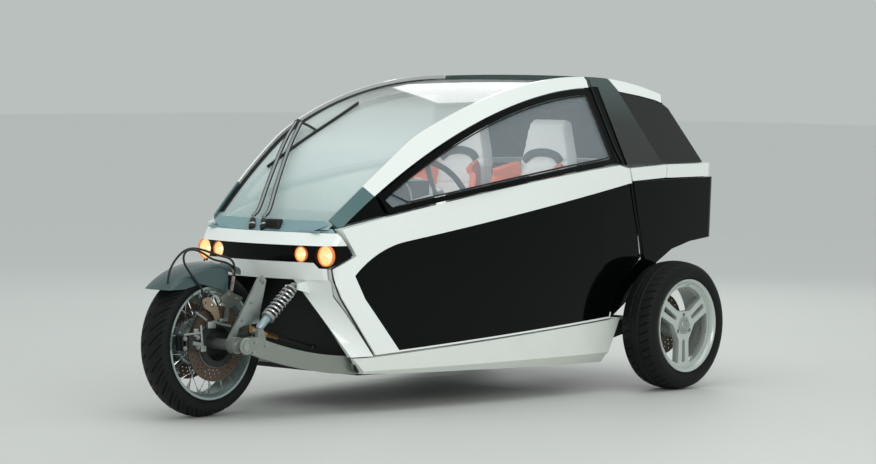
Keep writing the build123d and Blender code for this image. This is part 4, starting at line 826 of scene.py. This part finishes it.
def make_wipers():
    facing = (0.0, -0.62, 0.78)
    arms = [swept(smooth_path(arm[1:]), [(-8, -2), (8, -2), (8, 1), (6, 3), (-6, 3), (-8, 1)], facing) for arm in WIPER_ARMS]
    piece("wiper_arms", merged(*arms), GREY_PLASTIC, "body", ("wipers",), 50)
    edges = [swept(smooth_path(arm[1:]), [(s * 9.5, -3), (s * 7.5, -3), (s * 7.5, 4), (s * 9.5, 3)], facing)
             for arm in WIPER_ARMS for s in (-1, 1)]
    blade = swept(smooth_path(WIPER_BLADE), [(-5, 1), (-3, 6), (3, 6), (5, 1), (1.2, -1), (1.2, -7), (-1.2, -7), (-1.2, -1)], facing)
    feet = [turned(((0, 8), (0, 15), (30, 14), (44, 12), (50, 9)), arm[0], tuple(np.subtract(arm[1], arm[0])), 28) for arm in WIPER_ARMS]
    tie = swept((WIPER_ARMS[0][-1], WIPER_ARMS[1][-1]), [(-7, -3), (7, -3), (7, 4), (-7, 4)], facing)
    yoke = swept(((-216, 890, 1150), (-270, 896, 1170), WIPER_ARMS[1][-1]), [(-5, -3), (5, -3), (5, 3), (-5, 3)], facing)
    motor = block((78, 336, 778), (74, 32, 40), 5)
    ribs = [block((x, 318.5, 778), (4, 3, 30), 1) for x in range(50, 110, 9)]
    piece("wiper_blade_and_feet", merged(*edges, blade, *feet, tie, yoke, motor, *ribs), PLASTIC, "body", (), 40)
    collars = [turned(((12, 14), (12, 18), (16, 19), (20, 18), (20, 14)), arm[0], tuple(np.subtract(arm[1], arm[0])), 28, True)
               for arm in WIPER_ARMS]
    piece("wiper_collars", merged(*collars), ZINC, "body")


# Trim: black strip inside the arches, seals, cowl slots, backlight edge

def make_trim():
    line = [(y, z, a) for y, z, a in roof_line() if z > 800 and y < 1935]
    strips = []
    for y, z, a in line:
        out = np.array((0.0, -sin(radians(a)), cos(radians(a))))
        spot = np.array((0.0, y, z)) - out * 17.0
        edge = cabin_half(spot[1], spot[2]) - 12.5
        strips.append((edge, spot, out))
    path = [(edge - 12.5, *spot[1:]) for edge, spot, _ in strips]
    strip = swept(path, [(-12.5, -2), (12.5, -2), (12.5, 1.5), (-12.5, 1.5)], [out for _, _, out in strips])
    piece("arch_inner_strips", both(strip), RUBBER, "body")
    slots = []
    for x, y in ((-90, 342), (-40, 340), (150, 352), (190, 359), (230, 368)):
        slots.append(block((x, y + 3, 770), (26, 3.0, 4.5), 1.2))
    piece("cowl_slots", merged(*slots), RUBBER, "body")
    seal = []
    for y, z in ((1958, 1381), (1990, 1250), (2030, 1090), (2062, 1012)):
        seal.append((cabin_half(y, z) - 2, y, z))
    piece("hoop_seals", both(tube(seal, 4.0, 10, 4)), RUBBER, "body")
    edge = []
    for y, z in ((2548, 1222), (2600, 1150), (2655, 1075), (2698, 1012)):
        edge.append((cabin_half(min(y, 2690), z) - 10, y - 6, z))
    piece("backlight_edges", both(tube(edge, 3.0, 10, 4)), GREY_PLASTIC, "canopy")
    header = block((0, 2524, 1258), (2 * cabin_half(2526, 1259) - 84, 34, 40), 7)
    piece("backlight_header", header, RUBBER, "canopy")


def on_hull(y, z, proud):
    return (hull_half(y, z) + proud, y, z)


def on_cabin(y, z, proud):
    return (cabin_half(y, z) + proud, y, z)


def make_door_trim():
    """Black edge strips behind the doors' panels and the rubber beads round the door glass."""
    rear = [(2074, 922), (2095, 850), (2118, 775), (2141, 711), (2156, 655), (2167, 603)]
    rear += [(REAR_AXLE_Y - sqrt(317 ** 2 - (z - REAR_AXLE_Z) ** 2), z) for z in range(575, 335, -20)]
    strip = swept([on_hull(y, z, 0.4) for y, z in rear], [(-7.5, -2), (7.5, -2), (7.0, 1.2), (-7.0, 1.2)], (1, 0, 0))
    # A dark rubber strip sunk 7 mm into the hull along each door's front seam is painted shade: it stands for the
    # shadowed gap between nose and door.
    front = [(460, 650), (412, 627), (370, 602), (379, 561), (414, 484), (496, 366), (580, 244)]
    dark = swept([on_hull(y, z, -7.0) for y, z in front], [(-3.6, -2), (3.6, -2), (3.6, 1), (-3.6, 1)], (1, 0, 0))
    piece("door_seam_painted_shade", both(dark), RUBBER, "body")
    bead = []
    start_y, start_z = 425.0 + 36 * sin(radians(40.4)), 761.0 - 36 * cos(radians(40.4))
    for k in range(60):
        a, b = radians(40.4), radians(40.4 - 39.3 * k / 59)
        y, z = start_y + 2420 * (sin(a) - sin(b)), start_z + 2420 * (cos(b) - cos(a))
        if 652 < y < 1906:
            bead.append((y, z))
    bead += [(1917, 1306), (1950, 1170), (1981, 1040)]
    bead += [(y, 858 + (y - 675) * 0.137 + 16 * sin(pi * (y - 675) / 1300)) for y in range(1940, 660, -80)]
    path = [on_cabin(y, z, -2.0) for y, z in bead]
    seal = swept(path, circle(3.2, 8), (1, 0, 0), loop=True)
    for side, turn in (("left", lambda s: s), ("right", mirrored)):
        piece(f"door_edge_strip_{side}", turn(strip), BLACK, f"door_{side}")
        piece(f"door_glass_seal_{side}", turn(seal), RUBBER, f"door_{side}")


# Cabin: seats, steering wheel, instruments

def simulate(cushion):
    """Blows the cushion up a little from inside and keeps the result."""
    start = np.array([v.co[:] for v in cushion.data.vertices])
    cloth = cushion.modifiers.new("cloth", "CLOTH")
    cloth.settings.quality = 4
    cloth.settings.use_pressure = True
    cloth.settings.uniform_pressure_force = 4.0
    cloth.settings.effector_weights.gravity = 0.0
    cloth.settings.tension_stiffness = 30.0
    cloth.settings.compression_stiffness = 30.0
    scene = bpy.context.scene
    for number in range(1, 21):
        scene.frame_set(number)
    graph = bpy.context.evaluated_depsgraph_get()
    swollen = cushion.evaluated_get(graph).to_mesh()
    moved = np.array([v.co[:] for v in swollen.vertices]) - start
    reach = np.linalg.norm(moved, axis=1)[:, None]
    limit = np.where(start[:, 2:] > 0.98, 0.003, 0.012)
    moved *= np.minimum(1.0, limit / np.maximum(reach, 1e-9))
    cushion.evaluated_get(graph).to_mesh_clear()
    cushion.modifiers.clear()
    scene.frame_set(1)
    cushion.data.vertices.foreach_set("co", (start + moved).ravel())
    cushion.data.update()


def channel(distance, half, deep):
    return deep * np.exp(-(distance / half) ** 2)


def sew(points, normals):
    """Seams and sewn channels: grooves across the seat and its back, and raised bolsters beside them."""
    x = np.abs(points[:, 0] * 1000 - 248.0)
    y, z = points[:, 1] * 1000 + MIDDLE, points[:, 2] * 1000
    facing = np.clip(normals[:, 2] * (y < 1690) + -normals[:, 1] * (y >= 1690), 0, 1)
    panel = (x < 128) & (z < 1010)
    out = -channel(x - 132, 5.0, 7.0) * (z < 1020)
    for middle in range(1370, 1680, 58):
        out -= channel(y - middle, 5.0, 5.5) * panel * (y < 1690)
    for middle in range(470, 960, 62):
        out -= channel(z - middle, 5.0, 5.5) * panel * (y >= 1690)
    out -= channel(z - 1020, 6.0, 6.0) * (y >= 1690)
    out += np.clip((x - 140) / 40, 0, 1) * 9.0 * (z < 930)
    return points + normals * (out * facing / 1000)[:, None]


def make_seats():
    mesh = NODES["seat_left"].data.copy()
    bm = bmesh.new()
    bm.from_mesh(mesh)
    bmesh.ops.remove_doubles(bm, verts=bm.verts, dist=0.0001)
    bm.to_mesh(mesh)
    bm.free()
    cushion = bpy.data.objects.new("seat_cushion", mesh)
    bpy.context.scene.collection.objects.link(cushion)
    shape = cushion.modifiers.new("voxels", "REMESH")
    shape.mode = "VOXEL"
    shape.voxel_size = 0.0096
    graph = bpy.context.evaluated_depsgraph_get()
    soft = bpy.data.meshes.new_from_object(cushion.evaluated_get(graph))
    cushion.modifiers.clear()
    cushion.data = soft
    simulate(cushion)
    finer = cushion.modifiers.new("finer", "SUBSURF")
    finer.levels = finer.render_levels = 1
    graph = bpy.context.evaluated_depsgraph_get()
    soft = bpy.data.meshes.new_from_object(cushion.evaluated_get(graph))
    bpy.data.objects.remove(cushion)
    points = np.empty(len(soft.vertices) * 3)
    soft.vertices.foreach_get("co", points)
    points = points.reshape(-1, 3)
    normals = np.array([v.vector[:] for v in soft.vertex_normals])
    points = sew(points, normals)
    for side, shift in (("left", 0.0), ("right", -0.496)):
        copy = soft.copy()
        copy.vertices.foreach_set("co", (points + (shift, 0, 0)).ravel())
        copy.update()
        seat = settle(copy, f"padded_seat_{side}", SEAT, "body", (f"seat_{side}",), 180)
    slots, shoulders, piping = [], [], []
    for x in (248.0, -248.0):
        arc = [(x + dx, 1846 + (z - 1000) * 0.1, z) for dx, z in ((-104, 1016), (-78, 1040), (-40, 1052), (0, 1055), (40, 1052), (78, 1040), (104, 1016))]
        slots.append(swept(smooth_path(arc), [(-17, -12), (17, -12), (18, -2), (14, 4), (-14, 4), (-18, -2)], (0, -1, 0.15)))
        for s in (-1, 1):
            wing = [(x + s * 172, 1742, 640), (x + s * 170, 1752, 760), (x + s * 164, 1776, 880), (x + s * 154, 1790, 950), (x + s * 146, 1776, 992)]
            flat = [(-62, -14), (50, -16), (66, -8), (70, 2), (62, 14), (20, 19), (-50, 16), (-66, 6)]
            shoulders.append(swept(smooth_path(wing), [(-s * u, v) for u, v in flat], (-s * 0.85, -0.45, 0.1)))
            piping.append(tube([(x + s * 132, 1330, 396), (x + s * 132, 1500, 378), (x + s * 132, 1680, 356)], 3.2, 8, 6))
    piece("headrest_slots", merged(*slots), SEAT_DARK, "body", (), 60)
    for number, shape in enumerate((merged(*shoulders[:2]), merged(*shoulders[2:]))):
        bolster = piece(f"shoulder_bolsters_{number}", shape, SEAT_AMBER, "body", (), 60)
    piece("seat_piping", merged(*piping), SEAT_DARK, "body")


def make_controls():
    x0, y0, z0 = 240.0, 1165.0, 880.0
    axis = (0.0, cos(radians(28)), sin(radians(28)))
    _, across, rise = frame_of(axis)
    centre = np.array((x0, y0, z0))
    rim_path = [centre + (across * cos(a) + rise * sin(a)) * 164 for a in np.linspace(0, 2 * pi, 96, endpoint=False)]
    rim = swept(rim_path, circle(12.5, 16), axis, loop=True)
    piece("wheel_rim", rim, WHEEL_LEATHER, "hand_wheel", ("steering_wheel",))
    spokes = []
    for angle in (90, 210, 330):
        out = across * cos(radians(angle)) + rise * sin(radians(angle))
        path = [centre + out * d - np.array(axis) * dip for d, dip in ((18, 12), (60, 10), (110, 4), (156, 0))]
        spokes.append(swept(smooth_path(path), [(-15, -3), (15, -3), (15, 2), (11, 4), (-11, 4), (-15, 2)], axis))
    boss = turned(((-22, 0.5), (-22, 22), (-16, 32), (6, 34), (14, 30), (18, 18), (19, 0.5)), centre, axis, 48)
    piece("wheel_spokes_and_boss", merged(*spokes, boss), ALLOY, "hand_wheel", (), 40)
    hood = []
    for x in np.linspace(-1, 1, 25):
        lift = sqrt(max(0.0, 1 - abs(x) ** 2.6))
        hood.append((x0 + 94 * x, 0.0, 862 + 92 * lift))
    front = [(p[0], 900.0, p[2]) for p in hood]
    back = [(x0 + (p[0] - x0) * 1.04, 1030.0, p[2] + 5) for p in hood]
    inner_front = [(x0 + (p[0] - x0) * 0.94, 900.0, p[2] - 6) for p in hood]
    inner_back = [(x0 + (p[0] - x0) * 0.97, 1030.0, p[2] - 2) for p in hood]
    cover = grid([front, back, inner_back, inner_front])
    keep = [f for f in cover[1] if max(i % 25 for i in f) - min(i % 25 for i in f) < 5]
    piece("instrument_hood", (cover[0], keep), WHITE, "body", (), 50)
    dials = [turned(((0, 0.5), (0, r - 6), (5, r - 5), (7, r), (0, r + 1)), (x0 + dx, 1008, 884), (0, 1, 0.2), 40) for dx, r in ((-42, 36), (40, 36))]
    piece("instrument_dials", merged(*dials), PLASTIC, "body")


# Engine, silencer and tail lamps

def make_tail():
    parts = [block((0, 2262, 420), (300, 330, 120), 22), block((0, 2262, 500), (220, 300, 60), 14)]
    for sign in (-1, 1):
        tilt = Matrix.Rotation(radians(sign * 18), 4, "Y")
        for k in range(9):
            parts.append(block((sign * (70 + k * 5.5), 2262, 520 + k * 13), (118, 190, 6), 2.4, tilt))
        parts.append(block((sign * 128, 2262, 632), (104, 180, 34), 10, tilt))
    parts.append(turned(((-40, 0.5), (-40, 82), (-30, 90), (0, 92), (8, 86), (10, 0.5)), (170, 2230, 440), (1, 0, 0), 48))
    pipe = tube(((-60, 2300, 400), (-140, 2360, 360), (-230, 2420, 340), (-250, 2470, 338)), 20, 16)
    silencer = turned(((0, 18), (8, 44), (16, 50), (196, 50), (204, 46), (214, 24), (252, 22), (252, 18), (200, 17), (200, 0.5)),
                      (-250, 2460, 338), (0, 1, 0.04), 48)
    bands = [turned(((d, 49.5), (d, 52), (d + 12, 52), (d + 12, 49.5)), (-250, 2460, 338), (0, 1, 0.04), 48, True) for d in (30, 170)]
    hanger = [block((-250, 2520, 395), (14, 10, 34), 3), block((-250, 2640, 400), (14, 10, 34), 3)]
    piece("silencer", merged(pipe, silencer, *bands, *hanger), ZINC, "body", (), 40)
    piece("finned_engine", merged(*parts), CAST, "body", ("engine",), 30)
    lens, ring, ribs = [], [], []
    at = (400.0, 2749.0, 800.0)
    lens.append(turned(((-12, 0.5), (-12, 44.5), (6, 44.5), (10, 40), (12, 26), (12.5, 0.5)), at, (0, 1, 0), 56))
    ring.append(turned(((-10, 41), (-10, 45.6), (9, 45.6), (12.5, 44), (12.5, 41)), at, (0, 1, 0), 64, True))
    for r in (14, 24, 34):
        ribs.append(turned(((9, r - 1.6), (13, r - 0.8), (13, r + 0.8), (9, r + 1.6)), at, (0, 1, 0), 56, True))
    piece("tail_lamp_lenses", both(merged(*lens, *ribs)), RED, "body", ("tail_lamps",))
    piece("tail_lamp_rings", both(merged(*ring)), CHROME, "body")


# Camera, light and floor

def make_camera():
    yaw, pitch, roll = radians(41.81), radians(3.08), radians(0.49)
    back = Vector((sin(yaw) * cos(pitch), -cos(yaw) * cos(pitch), sin(pitch)))
    right = Vector((0, 0, 1)).cross(back).normalized()
    up = back.cross(right)
    right, up = right * cos(roll) + up * sin(roll), up * cos(roll) - right * sin(roll)
    lens = bpy.data.cameras.new("camera")
    lens.sensor_width = 36.0
    lens.sensor_fit = "HORIZONTAL"
    lens.lens = 36.0 * 3013.0 / IMAGE_W
    lens.clip_end = 200.0
    camera = bpy.data.objects.new("camera", lens)
    bpy.context.scene.collection.objects.link(camera)
    camera.matrix_world = Matrix((right, up, back)).transposed().to_4x4()
    camera.location = place((8865.0, -8474.0, 1418.0))[0]
    bpy.context.scene.camera = camera


def lamp(name, spot, aim, size, power):
    light = bpy.data.lights.new(name, "AREA")
    light.shape = "RECTANGLE"
    light.size, light.size_y = size
    light.energy = power
    holder = bpy.data.objects.new(name, light)
    bpy.context.scene.collection.objects.link(holder)
    holder.location = spot
    holder.rotation_euler = (Vector(aim) - Vector(spot)).to_track_quat("-Z", "Y").to_euler()


def make_studio():
    lamp("overhead", (0.5, 0.0, 5.2), (0, 0, 0.4), (6.0, 6.0), 80)
    lamp("side", (6.5, -3.6, 3.0), (0, 0, 0.6), (4.5, 2.4), 100)
    lamp("cabin", (0.0, 0.1, 1.2), (0.0, 0.5, 0.7), (0.7, 0.3), 2.3)
    lamp("tail_side", (-3.5, 5.5, 3.5), (0, 0.6, 0.6), (3.0, 2.0), 45)
    world = bpy.data.worlds.new("studio")
    bpy.context.scene.world = world
    world.use_nodes = True
    nodes, links = world.node_tree.nodes, world.node_tree.links
    soft = nodes["Background"]
    soft.inputs["Color"].default_value = (0.93, 0.98, 1.0, 1.0)
    soft.inputs["Strength"].default_value = 0.86
    seen = nodes.new("ShaderNodeBackground")
    seen.inputs["Color"].default_value = linear(186, 192, 189)
    seen.inputs["Strength"].default_value = 1.0
    ray = nodes.new("ShaderNodeLightPath")
    first = nodes.new("ShaderNodeMath")
    first.operation = "MAXIMUM"
    second = nodes.new("ShaderNodeMath")
    second.operation = "MAXIMUM"
    links.new(ray.outputs["Is Camera Ray"], first.inputs[0])
    links.new(ray.outputs["Is Glossy Ray"], first.inputs[1])
    links.new(first.outputs[0], second.inputs[0])
    links.new(ray.outputs["Is Transmission Ray"], second.inputs[1])
    mix = nodes.new("ShaderNodeMixShader")
    links.new(second.outputs[0], mix.inputs[0])
    links.new(soft.outputs[0], mix.inputs[1])
    links.new(seen.outputs[0], mix.inputs[2])
    links.new(mix.outputs[0], nodes["World Output"].inputs["Surface"])
    floor = bpy.data.meshes.new("floor")
    floor.from_pydata([(-60, -60, 0), (60, -60, 0), (60, 60, 0), (-60, 60, 0)], [], [(0, 1, 2, 3)])
    floor.materials.append(shaded("studio_floor", linear(200, 202, 197), 0.6, vary=0.02, patch=0.6, grain=60.0, bump=0.03))
    ground = bpy.data.objects.new("floor", floor)
    bpy.context.scene.collection.objects.link(ground)
    bpy.context.scene.view_settings.view_transform = "Standard"


make_camera()
hose("hose_over_guard", HOSE_OVER)
hose("hose_to_caliper", HOSE_LOOP)
dress_nodes()
make_tyres()
make_front_wheel()
make_rear_wheels()
make_shocks()
make_front_details()
make_lamps()
make_wipers()
make_trim()
make_door_trim()
make_seats()
make_controls()
make_tail()
make_studio()
